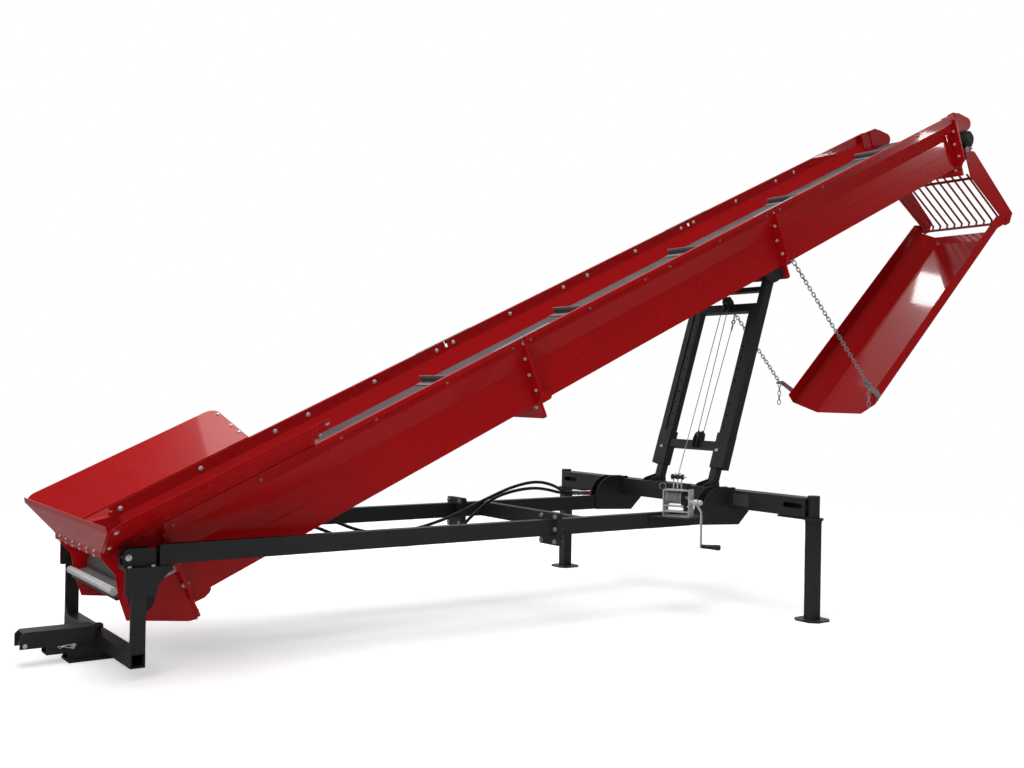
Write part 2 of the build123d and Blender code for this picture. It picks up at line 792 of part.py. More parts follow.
def belt_place(distance):
    """The point (s, n) and the outward direction in degrees at a distance along the belt's outside."""
    distance = distance % belt_loop
    if distance < belt_run:
        return tail_drum_s + distance, -belt_top, 90.0
    if distance < belt_run + belt_arc:
        turn = 90.0 - math.degrees((distance - belt_run) / belt_radius)
        centre_s = head_drum_s
    elif distance < 2 * belt_run + belt_arc:
        return head_drum_s - (distance - belt_run - belt_arc), drum_axis_n - belt_radius, -90.0
    else:
        turn = -90.0 - math.degrees((distance - 2 * belt_run - belt_arc) / belt_radius)
        centre_s = tail_drum_s
    out_s = belt_radius * math.cos(math.radians(turn))
    out_n = belt_radius * math.sin(math.radians(turn))
    return centre_s + out_s, drum_axis_n + out_n, turn


with BuildPart() as belt:
    with BuildSketch(deck_side(belt_half)):
        for radius, cut_mode in ((belt_radius, Mode.ADD), (drum_radius, Mode.SUBTRACT)):
            with Locations(((tail_drum_s + head_drum_s) / 2, drum_axis_n)):
                SlotCenterToCenter(belt_run, 2 * radius, mode=cut_mode)
    extrude(amount=2 * belt_half)
    for index in range(flight_count):
        flight_s, flight_n, flight_turn = belt_place(flight_start + index * belt_loop / flight_count)
        with BuildSketch(deck_side(flight_half)):
            with Locations(Location((flight_s, flight_n, 0), (0, 0, flight_turn - 90))):
                with Locations((0, flight_height / 2 - 0.5)):
                    Rectangle(flight_thickness, flight_height + 1)
                with Locations((-flight_foot / 2, flight_thickness / 2 - 0.5)):
                    Rectangle(flight_foot, flight_thickness + 1)
        extrude(amount=2 * flight_half)
save(belt, "belt")

# Tail box: side plates that carry the tail drum and the pivot
tail_front_x = front_x - 79
tail_front_low = 478.0
tail_front_high = 505.0
tail_end = flange_s[0] - flange_plate
tail_end_low = deck_point(tail_end, -454)
tail_end_high = deck_point(tail_end, -flange_top)
tail_outline = (
    (tail_front_x, tail_front_high), (tail_front_x, tail_front_low), (front_x - 17, 404), (front_x - 3, 314),
    (front_x + 32, 213), (front_x + 295, 184), (tail_end_low.X, tail_end_low.Z),
    (tail_end_high.X, tail_end_high.Z), (front_x + 60, 545),
)
with BuildPart() as tail_box:
    for side_name, side in sides:
        with BuildSketch(side_plane(side * (tail_half - tail_plate / 2))):
            outline(*tail_outline)
        extrude(amount=tail_plate / 2, both=True)
        with BuildSketch(side_plane(side * tail_half)):
            with Locations((pivot_x, pivot_z)):
                Circle(boss_radius)
        extrude(amount=-side * 40)
        with BuildSketch(side_plane(side * (tail_half - tail_plate))):
            with Locations((pivot_x, pivot_z)):
                Circle(pivot_radius + pivot_clearance)
        extrude(amount=-side * (tail_plate + 60), mode=Mode.SUBTRACT)
        with BuildSketch(side_plane(side * (tail_half - tail_plate / 2))):
            with Locations((tail_hole_x, tail_hole_z)):
                Circle(tail_hole_radius)
        extrude(amount=tail_plate, both=True, mode=Mode.SUBTRACT)
        with BuildSketch(deck_side(side * tail_half)):
            with Locations((tensioner_start, tensioner_n)):
                Rectangle(tensioner_block, 2 * tensioner_block)
        extrude(amount=-side * tensioner_block)
        tensioner_y = side * (tail_half + tensioner_block / 2)
        tensioner_foot = deck_point(tensioner_start, tensioner_n) + Vector(0, tensioner_y, 0)
        with BuildSketch(Plane(origin=tuple(tensioner_foot), x_dir=(0, 1, 0), z_dir=tuple(along))):
            Circle(tensioner_radius)
        extrude(amount=flange_s[0] - flange_plate - tensioner_gap - tensioner_start)
    with BuildSketch(side_plane(tail_half - tail_plate)):
        with Locations((tail_front_x + tail_plate / 2, (tail_front_low + tail_front_high) / 2)):
            Rectangle(tail_plate, tail_front_high - tail_front_low)
    extrude(amount=2 * (tail_half - tail_plate))
    with BuildSketch(side_plane(tail_half - tail_plate)):
        with Locations((scraper_x, scraper_z)):
            Circle(scraper_radius)
    extrude(amount=2 * (tail_half - tail_plate))
save(tail_box, "tail_box")

# Hopper: two flared wings and a flared front plate
wing_run = math.hypot(wing_top_half - wing_foot, wing_top_n)
for side_name, side in sides:
    with BuildPart() as wing:
        wing_plane = Plane(
            origin=tuple(deck_point(0, 0) + Vector(0, side * wing_foot, 0)),
            x_dir=tuple(along),
            z_dir=tuple(above * (wing_top_half - wing_foot) - Vector(0, side * wing_top_n, 0)),
        )
        with BuildSketch(wing_plane):
            with Locations(((wing_start + wing_end) / 2, side * wing_run / 2)):
                Rectangle(wing_end - wing_start, wing_run)
            fillet(vertices().sort_by(Axis.Y)[2:] if side > 0 else vertices().sort_by(Axis.Y)[:2], wing_corner)
        extrude(amount=hopper_sheet)
    save(wing, f"hopper_wing_{side_name}")

front_foot_x = tail_front_x
front_foot_z = tail_front_high
front_foot_half = 358.0
front_lean_x = 65.0
front_lean_z = 113.0
front_top_half = 660.0
front_lip_x = 5.0
front_lip_z = 22.0
front_lip_lap = 3.2
front_run = math.hypot(front_lean_x, front_lean_z)
with BuildPart() as hopper_front:
    with BuildSketch(side_plane(front_foot_half)):
        with Locations((front_foot_x - hopper_sheet / 2, (tail_front_low + front_foot_z) / 2)):
            Rectangle(hopper_sheet, front_foot_z - tail_front_low)
    extrude(amount=2 * front_foot_half)
    lean = Vector(-front_lean_x, 0, front_lean_z).normalized()
    with BuildSketch(Plane(origin=(front_foot_x, 0, front_foot_z), x_dir=(0, -1, 0), z_dir=tuple(Vector(0, -1, 0).cross(lean)))):
        outline(
            (-front_foot_half, 0),
            (front_foot_half, 0),
            (front_top_half, front_run),
            (-front_top_half, front_run),
        )
    extrude(amount=hopper_sheet)
    lip_x = front_foot_x - front_lean_x
    lip_z = front_foot_z + front_lean_z
    with BuildSketch(side_plane(front_top_half)):
        outline(
            (lip_x, lip_z), (lip_x - front_lip_x, lip_z + front_lip_z),
            (lip_x - front_lip_x - hopper_sheet, lip_z + front_lip_z), (lip_x - hopper_sheet, lip_z - front_lip_lap),
        )
    extrude(amount=2 * front_top_half)
save(hopper_front, "hopper_front")

# Head box with the chute's arms
with BuildPart() as head_box:
    for side_name, side in sides:
        with BuildSketch(deck_side(side * (head_half - head_plate / 2))):
            outline(
                (6170, 0), (6243, 0), (6330, -60), (6345, -180), (6330, -320), (6170, -366),
            )
        extrude(amount=head_plate / 2, both=True)
save(head_box, "head_box")

grille_top = Vector(front_x + 5890, 0, 2728)
grille_kink = Vector(front_x + 6262, 0, 2478)
grille_foot = Vector(front_x + 6250, 0, 2446)
bar_top = grille_top + (grille_top - grille_kink).normalized() * grille_overrun
with BuildPart() as grille:
    for rail in (grille_top, grille_foot):
        with BuildSketch(side_plane(arm_half - arm_plate)):
            with Locations((rail.X, rail.Z)):
                Rectangle(grille_rail, grille_rail)
        extrude(amount=2 * (arm_half - arm_plate))
    for index in range(grille_bars):
        bar_y = (index - (grille_bars - 1) / 2) * 2 * (arm_half - 34) / (grille_bars - 1)
        for start, end in ((bar_top, grille_kink), (grille_kink, grille_foot)):
            run = end - start
            with BuildSketch(side_plane(bar_y)):
                with Locations(Location(((start.X + end.X) / 2, (start.Z + end.Z) / 2, 0),
                                        (0, 0, math.degrees(math.atan2(run.Z, run.X))))):
                    Rectangle(run.length + grille_bar, grille_bar)
            extrude(amount=grille_bar / 2, both=True)
save(grille, "chute_grille")

# Chute: a folded tray that hangs from the arms on two ears
chute_rad = math.radians(chute_angle)
chute_down = Vector(-math.cos(chute_rad), 0, -math.sin(chute_rad))
chute_up = Vector(-math.sin(chute_rad), 0, math.cos(chute_rad))
chute_pivot = Vector(chute_pivot_x, 0, chute_pivot_z)


def chute_side(y):
    """The chute's side view at a height y: down the chute to the right, square to it up."""
    return Plane(origin=(chute_pivot_x, y, chute_pivot_z), x_dir=tuple(chute_down),
                 z_dir=tuple(chute_down.cross(chute_up)))


chute_cut = Plane(
    origin=tuple(chute_pivot + chute_down * chute_start),
    x_dir=(0, -1, 0),
    z_dir=tuple(chute_down),
)
chute_ear_radius = 28.0
chute_pin_radius = 9.0
chute_ear_y = chute_half - chute_sheet / 2
with BuildPart() as chute_tray:
    with BuildSketch(chute_cut):
        outline(
            (-chute_half, chute_lip), (-chute_half, chute_wall_foot), (-chute_floor_half, -chute_floor),
            (chute_floor_half, -chute_floor), (chute_half, chute_wall_foot), (chute_half, chute_lip),
            (chute_half - chute_sheet, chute_lip), (chute_half - chute_sheet, chute_wall_foot + 2),
            (chute_floor_half - 1, -chute_floor + chute_sheet), (-chute_floor_half + 1, -chute_floor + chute_sheet),
            (-chute_half + chute_sheet, chute_wall_foot + 2), (-chute_half + chute_sheet, chute_lip),
        )
    extrude(amount=chute_length - chute_start)
    lead_end = chute_start + chute_lead
    lead_low = chute_pivot + chute_down * lead_end + chute_up * (chute_sheet - chute_floor)
    lead_high = chute_pivot + chute_down * chute_start + chute_up * (chute_sheet - chute_floor + chute_lead_rise)
    with BuildSketch(chute_side(-chute_half)):
        outline(
            (chute_start - 1, -chute_floor - 1), (lead_end, -chute_floor - 1), (lead_end, chute_sheet / 2 - chute_floor),
            (chute_start - 1, chute_sheet / 2 - chute_floor + chute_lead_rise * (chute_lead + 1) / chute_lead),
        )
    extrude(amount=2 * chute_half, mode=Mode.SUBTRACT)
    lead_foot_half = chute_floor_half + chute_sheet / 3
    lead_way = (lead_high - lead_low).normalized()
    lead_spread = (chute_half - chute_floor_half) * chute_lead_rise / (chute_floor + chute_wall_foot)
    with BuildSketch(Plane(origin=tuple(lead_low), x_dir=(0, 1, 0), z_dir=tuple(Vector(0, 1, 0).cross(lead_way)))):
        outline(
            (-lead_foot_half, 0), (lead_foot_half, 0),
            (lead_foot_half + lead_spread, (lead_high - lead_low).length),
            (-lead_foot_half - lead_spread, (lead_high - lead_low).length),
        )
    extrude(amount=chute_sheet)
    for side_name, side in sides:
        with BuildSketch(chute_side(side * chute_ear_y)):
            Circle(chute_ear_radius)
            outline((0, -chute_ear_radius), (chute_start + 60, chute_wall_foot), (chute_start + 60, chute_lip),
                    (chute_start, chute_lip), (0, chute_ear_radius))
        extrude(amount=chute_sheet / 2, both=True)
        with BuildSketch(chute_side(side * chute_ear_y)):
            Circle(chute_pin_radius + pivot_clearance)
        extrude(amount=chute_sheet, both=True, mode=Mode.SUBTRACT)
save(chute_tray, "chute_tray")

# Arms that carry the chute on two pins
arm_points = ((5778, 2910), (5891, 2913), (6369, 2529), (6335, 2452), (6279, 2430), (6235, 2487), (5854, 2733))
with BuildPart() as chute_arms:
    for side_name, side in sides:
        with BuildSketch(side_plane(side * arm_half)):
            outline(*((front_x + x, z) for x, z in arm_points))
        extrude(amount=side * arm_plate)
        with BuildSketch(side_plane(side * (arm_half - 1))):
            with Locations((chute_pivot_x, chute_pivot_z)):
                Circle(chute_pin_radius)
        extrude(amount=-side * (chute_half - arm_half + 4))
        with BuildSketch(side_plane(side * (chute_half + 1))):
            with Locations((chute_pivot_x, chute_pivot_z)):
                Circle(chute_pin_radius + 6)
        extrude(amount=-side * 7)
save(chute_arms, "chute_arms")

# Brackets at the chute's foot, and the lugs on the conveyor, for the chains
anchor = deck_point(chain_anchor_s, chain_anchor_n)
chain_run = Vector(chain_foot_x - anchor.X, 0, chain_foot_z - anchor.Z)
with BuildPart() as chain_brackets:
    for side_name, side in sides:
        foot_t = (Vector(chain_foot_x, 0, chain_foot_z) - chute_pivot).dot(chute_down)
        foot_w = (Vector(chain_foot_x, 0, chain_foot_z) - chute_pivot).dot(chute_up)
        with BuildSketch(chute_side(side * (chute_half + 3))):
            outline((foot_t - 90, 30), (foot_t - 20, 30), (foot_t - 20, chute_lip), (foot_t + 14, foot_w),
                    (foot_t, foot_w + 14), (foot_t - 14, foot_w), (foot_t - 60, chute_lip), (foot_t - 90, chute_lip))
        extrude(amount=3, both=True)
save(chain_brackets, "chain_brackets")

with BuildPart() as chain_lugs:
    for side_name, side in sides:
        with BuildSketch(side_plane(side * (chain_y - chain_wire))):
            with Locations((anchor.X, anchor.Z)):
                Circle(chain_pin_radius)
        extrude(amount=side * (chain_y - chain_wire - side_half - 34))
        with BuildSketch(side_plane(side * (chain_y - chain_wire - 1))):
            with Locations((anchor.X, anchor.Z)):
                Circle(chain_pin_radius)
        extrude(amount=-side * (3 * chain_wire))
save(chain_lugs, "chain_lugs")

for side_name, side in sides:
    with BuildPart() as chain:
        with BuildSketch(side_plane(side * chain_y)):
            with Locations((anchor.X, anchor.Z)):
                Circle(chain_pin_radius + chain_clearance + chain_wire)
                Circle(chain_pin_radius + chain_clearance, mode=Mode.SUBTRACT)
        extrude(amount=chain_wire / 2, both=True)
        chain_pitch = chain_link_length - 2 * chain_wire - chain_seat
        first_link = chain_pin_radius + chain_clearance + chain_wire - chain_seat + chain_link_length / 2
        links = int((chain_run.length - first_link) / chain_pitch) + 1
        for facing, normal in ((0, chain_run.cross(Vector(0, 1, 0))), (1, Vector(0, 1, 0))):
            with BuildSketch(Plane(origin=(anchor.X, side * chain_y, anchor.Z), x_dir=tuple(chain_run.normalized()),
                                   z_dir=tuple(normal))):
                for link in range(facing, links, 2):
                    link_ring(first_link + link * chain_pitch)
            extrude(amount=chain_wire / 2, both=True)
    save(chain, f"chain_{side_name}")

# Brackets below the conveyor that take the mast's top
mast_top_s = Vector(mast_top_x - rim_foot_x, 0, mast_top_z - rim_foot_z).dot(along)
mast_top_n = Vector(mast_top_x - rim_foot_x, 0, mast_top_z - rim_foot_z).dot(above)
with BuildPart() as mast_bracket:
    for side_name, side in sides:
        with BuildSketch(deck_side(side * (mast_channel_half + 9))):
            outline((mast_top_s - 60, -box_depth), (flange_s[2] - flange_plate, -box_depth),
                    (flange_s[2] - flange_plate, -flange_cross_bottom + 20), (mast_top_s + 20, mast_top_n - 36),
                    (mast_top_s - 30, mast_top_n - 30))
        extrude(amount=4, both=True)
save(mast_bracket, "mast_bracket")

# Splice strips over the joints of the rim
with BuildPart() as splice_strips:
    for joint_s in flange_s[1:3]:
        for side_name, side in sides:
            with BuildSketch(deck_cut(joint_s - 190)):
                with Locations((side * (rim_half - rim_width / 2), 1.5)):
                    Rectangle(rim_width, 3)
            extrude(amount=380)
save(splice_strips, "splice_strips")

# Hydraulic motor on the head drum
with BuildPart() as motor:
    with BuildSketch(deck_side(-head_half)):
        with Locations((head_drum_s, drum_axis_n)):
            Circle(motor_radius)
    extrude(amount=24)
    with BuildSketch(deck_side(-head_half - 24)):
        with Locations((head_drum_s, drum_axis_n)):
            Circle(0.7 * motor_radius)
    extrude(amount=motor_length - 24)
save(motor, "drive_motor")

# Winch: an open frame with its drum, on a shelf outside the near beam
winch_axis = Vector(math.cos(math.radians(winch_turn)), math.sin(math.radians(winch_turn)), 0)
winch_normal = winch_axis.cross(Vector(0, 0, 1))
winch_foot = Vector(winch_x, winch_y, winch_z)


def winch_front(depth):
    """The winch seen square to its drum at a depth from its middle, with its crank to the right."""
    return Plane(origin=tuple(winch_foot - winch_normal * depth), x_dir=tuple(winch_axis), z_dir=tuple(winch_normal))


def winch_end(reach):
    """The winch's end view at a reach along its drum from its middle."""
    return Plane(origin=tuple(winch_foot + winch_axis * reach), x_dir=tuple(-winch_normal), z_dir=tuple(winch_axis))


with BuildPart() as winch_frame:
    with BuildSketch(winch_front(winch_depth / 2)):
        with Locations((0, winch_height / 2)):
            hollow(winch_width, winch_height, winch_plate)
        with Locations((0, 27)):
            Rectangle(winch_width - 2 * winch_plate, winch_plate)
    extrude(amount=winch_depth)
save(winch_frame, "winch_frame")

with BuildPart() as winch_drum:
    with BuildSketch(winch_end(-winch_width / 2 + winch_plate)):
        with Locations((0, winch_drum_height)):
            Circle(winch_drum_radius)
    extrude(amount=winch_width - 2 * winch_plate)
save(winch_drum, "winch_drum")

with BuildPart() as winch_crank:
    with BuildSketch(winch_end(winch_width / 2)):
        with Locations((0, winch_hub_height)):
            Circle(11)
    extrude(amount=winch_hub_reach - winch_width / 2)
    with BuildSketch(winch_end(winch_hub_reach - winch_crank_plate)):
        with Locations((0, winch_hub_height - winch_crank_arm / 2)):
            Rectangle(winch_crank_width, winch_crank_arm)
    extrude(amount=winch_crank_plate)
    with BuildSketch(winch_end(winch_hub_reach)):
        with Locations((0, winch_hub_height - winch_crank_arm + winch_grip_radius)):
            Circle(winch_grip_radius)
    extrude(amount=winch_grip)
save(winch_crank, "winch_crank")

with BuildPart() as cable_guide:
    with BuildSketch(winch_end(-28)):
        with Locations((0, winch_height + 30)):
            Rectangle(winch_plate * 2, 60)
    extrude(amount=winch_plate)
    with BuildSketch(winch_end(12)):
        with Locations((0, winch_height + 30)):
            Rectangle(winch_plate * 2, 60)
    extrude(amount=winch_plate)
    with BuildSketch(winch_end(-38)):
        with Locations((0, guide_height)):
            Circle(14)
    extrude(amount=66)
save(cable_guide, "cable_guide")

with BuildPart() as winch_bracket:
    with BuildSketch(Plane.XY.offset(winch_z - winch_shelf)):
        outline((winch_x - 130, -beam_outer_y), (winch_x + 190, -beam_outer_y), (winch_x + 120, winch_y - 100),
                (winch_x - 20, winch_y - 100), (winch_x - 80, winch_y - 20))
    extrude(amount=winch_shelf)
    with BuildSketch(side_plane(-beam_outer_y)):
        outline((winch_x - 120, beam_bottom), (winch_x + 180, beam_bottom), (winch_x + 180, winch_z - winch_shelf),
                (winch_x - 120, winch_z - winch_shelf))
    extrude(amount=winch_shelf)
save(winch_bracket, "winch_bracket")

# Hoses: routes of chosen points from a clamp on the far beam to their couplings
upper_route = (
    (front_x + 1205, 408, 524),
    (front_x + 1335, 399, 480),
    (front_x + 1480, 389, 420),
    (front_x + 1630, 379, 396),
    (front_x + 1775, 371, 408),
    (front_x + 1905, 362, 434),
    (front_x + 2040, 354, 473),
    (front_x + 2170, 348, 525),
    (front_x + 2300, 347, 574),
    (front_x + 2460, 356, 626),
    (front_x + 2640, 380, 650),
    (front_x + 2790, 409, 622),
    (front_x + 2900, 436, 569.5),
    (front_x + 2990, 448, 563.5),
)
lower_route = (
    (front_x + 1125, 404, 486),
    (front_x + 1230, 385, 455),
    (front_x + 1340, 376, 405),
    (front_x + 1480, 364, 358),
    (front_x + 1640, 350, 335),
    (front_x + 1800, 338, 334),
    (front_x + 1950, 326, 356),
    (front_x + 2080, 317, 412),
    (front_x + 2180, 312, 500),
    (front_x + 2285, 313, 566),
    (front_x + 2420, 324, 601),
    (front_x + 2590, 350, 615),
    (front_x + 2745, 404, 596),
    (front_x + 2895, 468, 562),
    (front_x + 2990, 475, 558),
)


def corner_radii(route):
    """As large a radius at each corner as its two runs allow."""
    radii = []
    for before, corner, after in zip(route, route[1:], route[2:]):
        first = Vector(*corner) - Vector(*before)
        second = Vector(*after) - Vector(*corner)
        half_turn = math.radians(first.get_angle(second)) / 2
        radii.append(0.45 * min(first.length, second.length) / math.tan(half_turn))
    return radii


for hose_name, route in (("upper", upper_route), ("lower", lower_route)):
    radii = corner_radii(route)
    start = Vector(*route[0])
    with BuildPart() as hose:
        with BuildLine() as hose_line:
            FilletPolyline(*route, radius=radii)
        with BuildSketch(Plane(origin=tuple(start), z_dir=tuple(Vector(*route[1]) - start))):
            Circle(hose_radius)
        sweep(path=hose_line.wires()[0])
    save(hose, f"hose_{hose_name}")

with BuildPart() as hose_couplings:
    for route in (upper_route, lower_route):
        run = Vector(*route[-1]) - Vector(*route[-2])
        with BuildSketch(Plane(origin=route[-1], z_dir=tuple(run))):
            Circle(coupling_radius)
        extrude(amount=coupling_length)
save(hose_couplings, "hose_couplings")

with BuildPart() as hose_clamp:
    for route in (upper_route, lower_route):
        run = Vector(*route[1]) - Vector(*route[0])
        with BuildSketch(Plane(origin=route[0], z_dir=tuple(run))):
            Rectangle(34, 34)
        extrude(amount=-40)
save(hose_clamp, "hose_clamp")
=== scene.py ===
"""Looks of a firewood conveyor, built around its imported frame. Sizes are in metres."""
from __future__ import annotations

import json
import logging
import math
from collections.abc import Iterable
from dataclasses import dataclass, field
from enum import Enum

import bmesh
import bpy
from mathutils import Matrix, Vector

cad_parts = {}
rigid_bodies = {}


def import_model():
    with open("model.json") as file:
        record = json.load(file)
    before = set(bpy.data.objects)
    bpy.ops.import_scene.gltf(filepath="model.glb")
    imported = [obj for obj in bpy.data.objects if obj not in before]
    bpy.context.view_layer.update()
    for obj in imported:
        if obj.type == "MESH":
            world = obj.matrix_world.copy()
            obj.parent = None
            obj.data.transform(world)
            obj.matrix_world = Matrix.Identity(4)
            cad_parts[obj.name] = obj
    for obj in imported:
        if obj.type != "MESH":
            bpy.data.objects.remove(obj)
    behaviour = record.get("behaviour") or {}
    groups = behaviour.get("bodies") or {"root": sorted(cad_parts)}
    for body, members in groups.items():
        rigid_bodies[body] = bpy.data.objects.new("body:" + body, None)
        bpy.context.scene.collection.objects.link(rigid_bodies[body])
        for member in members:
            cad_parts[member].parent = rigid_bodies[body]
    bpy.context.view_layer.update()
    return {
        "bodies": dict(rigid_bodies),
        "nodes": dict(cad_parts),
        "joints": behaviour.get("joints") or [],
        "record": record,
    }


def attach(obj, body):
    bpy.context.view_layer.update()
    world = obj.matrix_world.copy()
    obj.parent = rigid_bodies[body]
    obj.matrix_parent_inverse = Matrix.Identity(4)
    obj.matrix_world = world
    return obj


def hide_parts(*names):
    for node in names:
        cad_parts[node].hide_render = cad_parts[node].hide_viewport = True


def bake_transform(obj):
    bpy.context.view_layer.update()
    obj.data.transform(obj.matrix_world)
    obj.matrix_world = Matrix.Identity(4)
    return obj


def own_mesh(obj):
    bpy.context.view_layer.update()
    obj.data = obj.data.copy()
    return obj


log = logging.getLogger("firewood_conveyor")

# The front beam's face along X: the places given along the machine count from here.
FRONT_X = -3.026
SEED = 7
FLOAT = "NodeSocketFloat"
VECTOR = "NodeSocketVector"
GEOMETRY = "NodeSocketGeometry"
WHITE = (1.0, 1.0, 1.0, 1.0)

# Radius and height of each corner of a turned solid, from one end to the other.
Profile = list[tuple[float, float]]
Route = tuple[tuple[float, float, float], ...]
Colour = tuple[float, float, float]


class Body(Enum):
    """The rigid bodies that a piece can ride on."""

    FRAME = "frame"
    CONVEYOR = "conveyor"
    MAST_LOWER = "mast_lower"
    MAST_UPPER = "mast_upper"
    CHUTE = "chute"
    CHAIN_NEAR = "chain_near"
    CHAIN_FAR = "chain_far"


class Slot(Enum):
    """The finishes that the part's record names."""

    RED = "red_paint"
    BLACK = "black_paint"
    ZINC = "zinc"
    STEEL = "steel"
    BELT = "belt_rubber"
    HOSE = "hose_rubber"


class Texture(Enum):
    """How the surface of a finish is worked."""

    SPRAYED = "sprayed"
    PLATED = "plated"
    WOVEN = "woven"
    MOULDED = "moulded"


class Head(Enum):
    """The heads that the fasteners have."""

    HEX = "hex"
    DOME = "dome"
    NUT = "nut"


@dataclass(frozen=True)
class Slope:
    """A side view of a sloping part: places run along it, square to it and across."""

    x: float
    z: float
    angle: float

    @property
    def along(self) -> Vector:
        """The direction that runs up the part."""
        turn = math.radians(self.angle)
        return Vector((math.cos(turn), 0.0, math.sin(turn)))

    @property
    def square(self) -> Vector:
        """The direction square to the part, to the left of the way up."""
        turn = math.radians(self.angle)
        return Vector((-math.sin(turn), 0.0, math.cos(turn)))

    def at(self, along: float, square: float, y: float) -> Vector:
        """Find a point of the part.

        Args:
            along: Distance along the part from its foot.
            square: Distance square to it.
            y: Place across the machine.

        Returns:
            The point in the machine's own frame.
        """
        return Vector((self.x, y, self.z)) + self.along * along + self.square * square

    def frame(self, along: float, square: float, y: float) -> Matrix:
        """Set a frame at a point of the part: X along it, Y across and Z square to it.

        Args:
            along: Distance along the part from its foot.
            square: Distance square to it.
            y: Place across the machine.

        Returns:
            The frame.
        """
        rows = (self.along, Vector((0, 1, 0)), self.square)
        turn = Matrix([list(row) for row in rows]).transposed().to_4x4()
        return Matrix.Translation(self.at(along, square, y)) @ turn


# The belt's deck, the mast and the chute in side view.
DECK = Slope(FRONT_X - 0.012, 0.530, 24.86)
MAST = Slope(FRONT_X + 3.488, 0.650, math.degrees(math.atan2(1.243, 0.397)))
CHUTE = Slope(FRONT_X + 6.284, 2.478, 180 + 43.44)
SIDES = (-1, 1)
FORWARD = Vector((-1, 0, 0))
UP = Vector((0, 0, 1))


def across(side: float) -> Vector:
    """The direction to the near side for -1 and to the far side for 1."""
    return Vector((0.0, float(side), 0.0))


def side_name(side: int) -> str:
    """The name of a side: near for -1 and far for 1."""
    return "near" if side < 0 else "far"


class Bench:
    """Adds nodes to a node tree and feeds their sockets."""

    def __init__(self, tree: bpy.types.NodeTree) -> None:
        """Take the tree that the nodes go into."""
        self.tree = tree

    def add(self, kind: str, inputs: dict | None = None, **settings: object) -> bpy.types.Node:
        """Add a node.

        Args:
            kind: The node's type name.
            inputs: Values or sockets for its inputs, by name or place.
            **settings: Properties of the node.

        Returns:
            The node.
        """
        node = self.tree.nodes.new(kind)
        for name, value in settings.items():
            setattr(node, name, value)
        for key, value in (inputs or {}).items():
            if isinstance(value, bpy.types.NodeSocket):
                self.tree.links.new(value, node.inputs[key])
            else:
                node.inputs[key].default_value = value
        return node

    def math(self, operation: str, first: object, second: object = 0.0) -> bpy.types.NodeSocket:
        """Combine two numbers and return the result's socket."""
        return self.add("ShaderNodeMath", {0: first, 1: second}, operation=operation).outputs[0]

    def remap(
        self, value: object, low: float, high: float, to_low: object = 0.0, to_high: object = 1.0,
    ) -> bpy.types.NodeSocket:
        """Stretch a number from one range to another and return the result's socket."""
        return self.add("ShaderNodeMapRange", {0: value, 1: low, 2: high, 3: to_low, 4: to_high}).outputs[0]

    def noise(self, place: object, scale: object, detail: object, **inputs: object) -> bpy.types.NodeSocket:
        """Add a noise texture and return its value's socket."""
        return self.add("ShaderNodeTexNoise", {"Vector": place, "Scale": scale, "Detail": detail, **inputs}).outputs[0]

    def stretched(self, place: object, scale: Colour) -> bpy.types.NodeSocket:
        """Stretch a pattern's place and return the new place's socket."""
        return self.add("ShaderNodeMapping", {"Vector": place, "Scale": scale}).outputs[0]

    def mixed(self, share: object, first: object, second: object) -> bpy.types.NodeSocket:
        """Mix two colours and return the result's socket."""
        return self.add("ShaderNodeMix", {0: share, 6: first, 7: second}, data_type="RGBA").outputs[2]

    def chosen(self, share: object, first: object, second: object) -> bpy.types.NodeSocket:
        """Mix two shaders and return the result's socket."""
        return self.add("ShaderNodeMixShader", {0: share, 1: first, 2: second}).outputs[0]

    def group(self, tree: bpy.types.NodeTree, inputs: dict) -> bpy.types.bpy_prop_collection:
        """Place a group with its values and return its output sockets."""
        return self.add("ShaderNodeGroup", inputs, node_tree=tree).outputs

    def end(self, kind: str, shader: bpy.types.NodeSocket) -> None:
        """Lead a shader to the tree's output."""
        self.add(kind, {"Surface": shader})


def new_group(
    name: str, tree_type: str, inputs: dict[str, tuple], outputs: dict[str, str],
) -> tuple[bpy.types.NodeTree, Bench, bpy.types.bpy_prop_collection, bpy.types.bpy_prop_collection]:
    """Start a node group with named inputs and outputs.

    Args:
        name: The group's name.
        tree_type: The type of its tree.
        inputs: Socket type and default value by name.
        outputs: Socket type by name.

    Returns:
        The tree, a bench for it, the sockets that it is given and the sockets of its result.
    """
    tree = bpy.data.node_groups.new(name, tree_type)
    for socket_name, (socket_type, default) in inputs.items():
        socket = tree.interface.new_socket(socket_name, in_out="INPUT", socket_type=socket_type)
        if default is not None:
            socket.default_value = default
    for socket_name, socket_type in outputs.items():
        tree.interface.new_socket(socket_name, in_out="OUTPUT", socket_type=socket_type)
    bench = Bench(tree)
    return tree, bench, bench.add("NodeGroupInput").outputs, bench.add("NodeGroupOutput").inputs


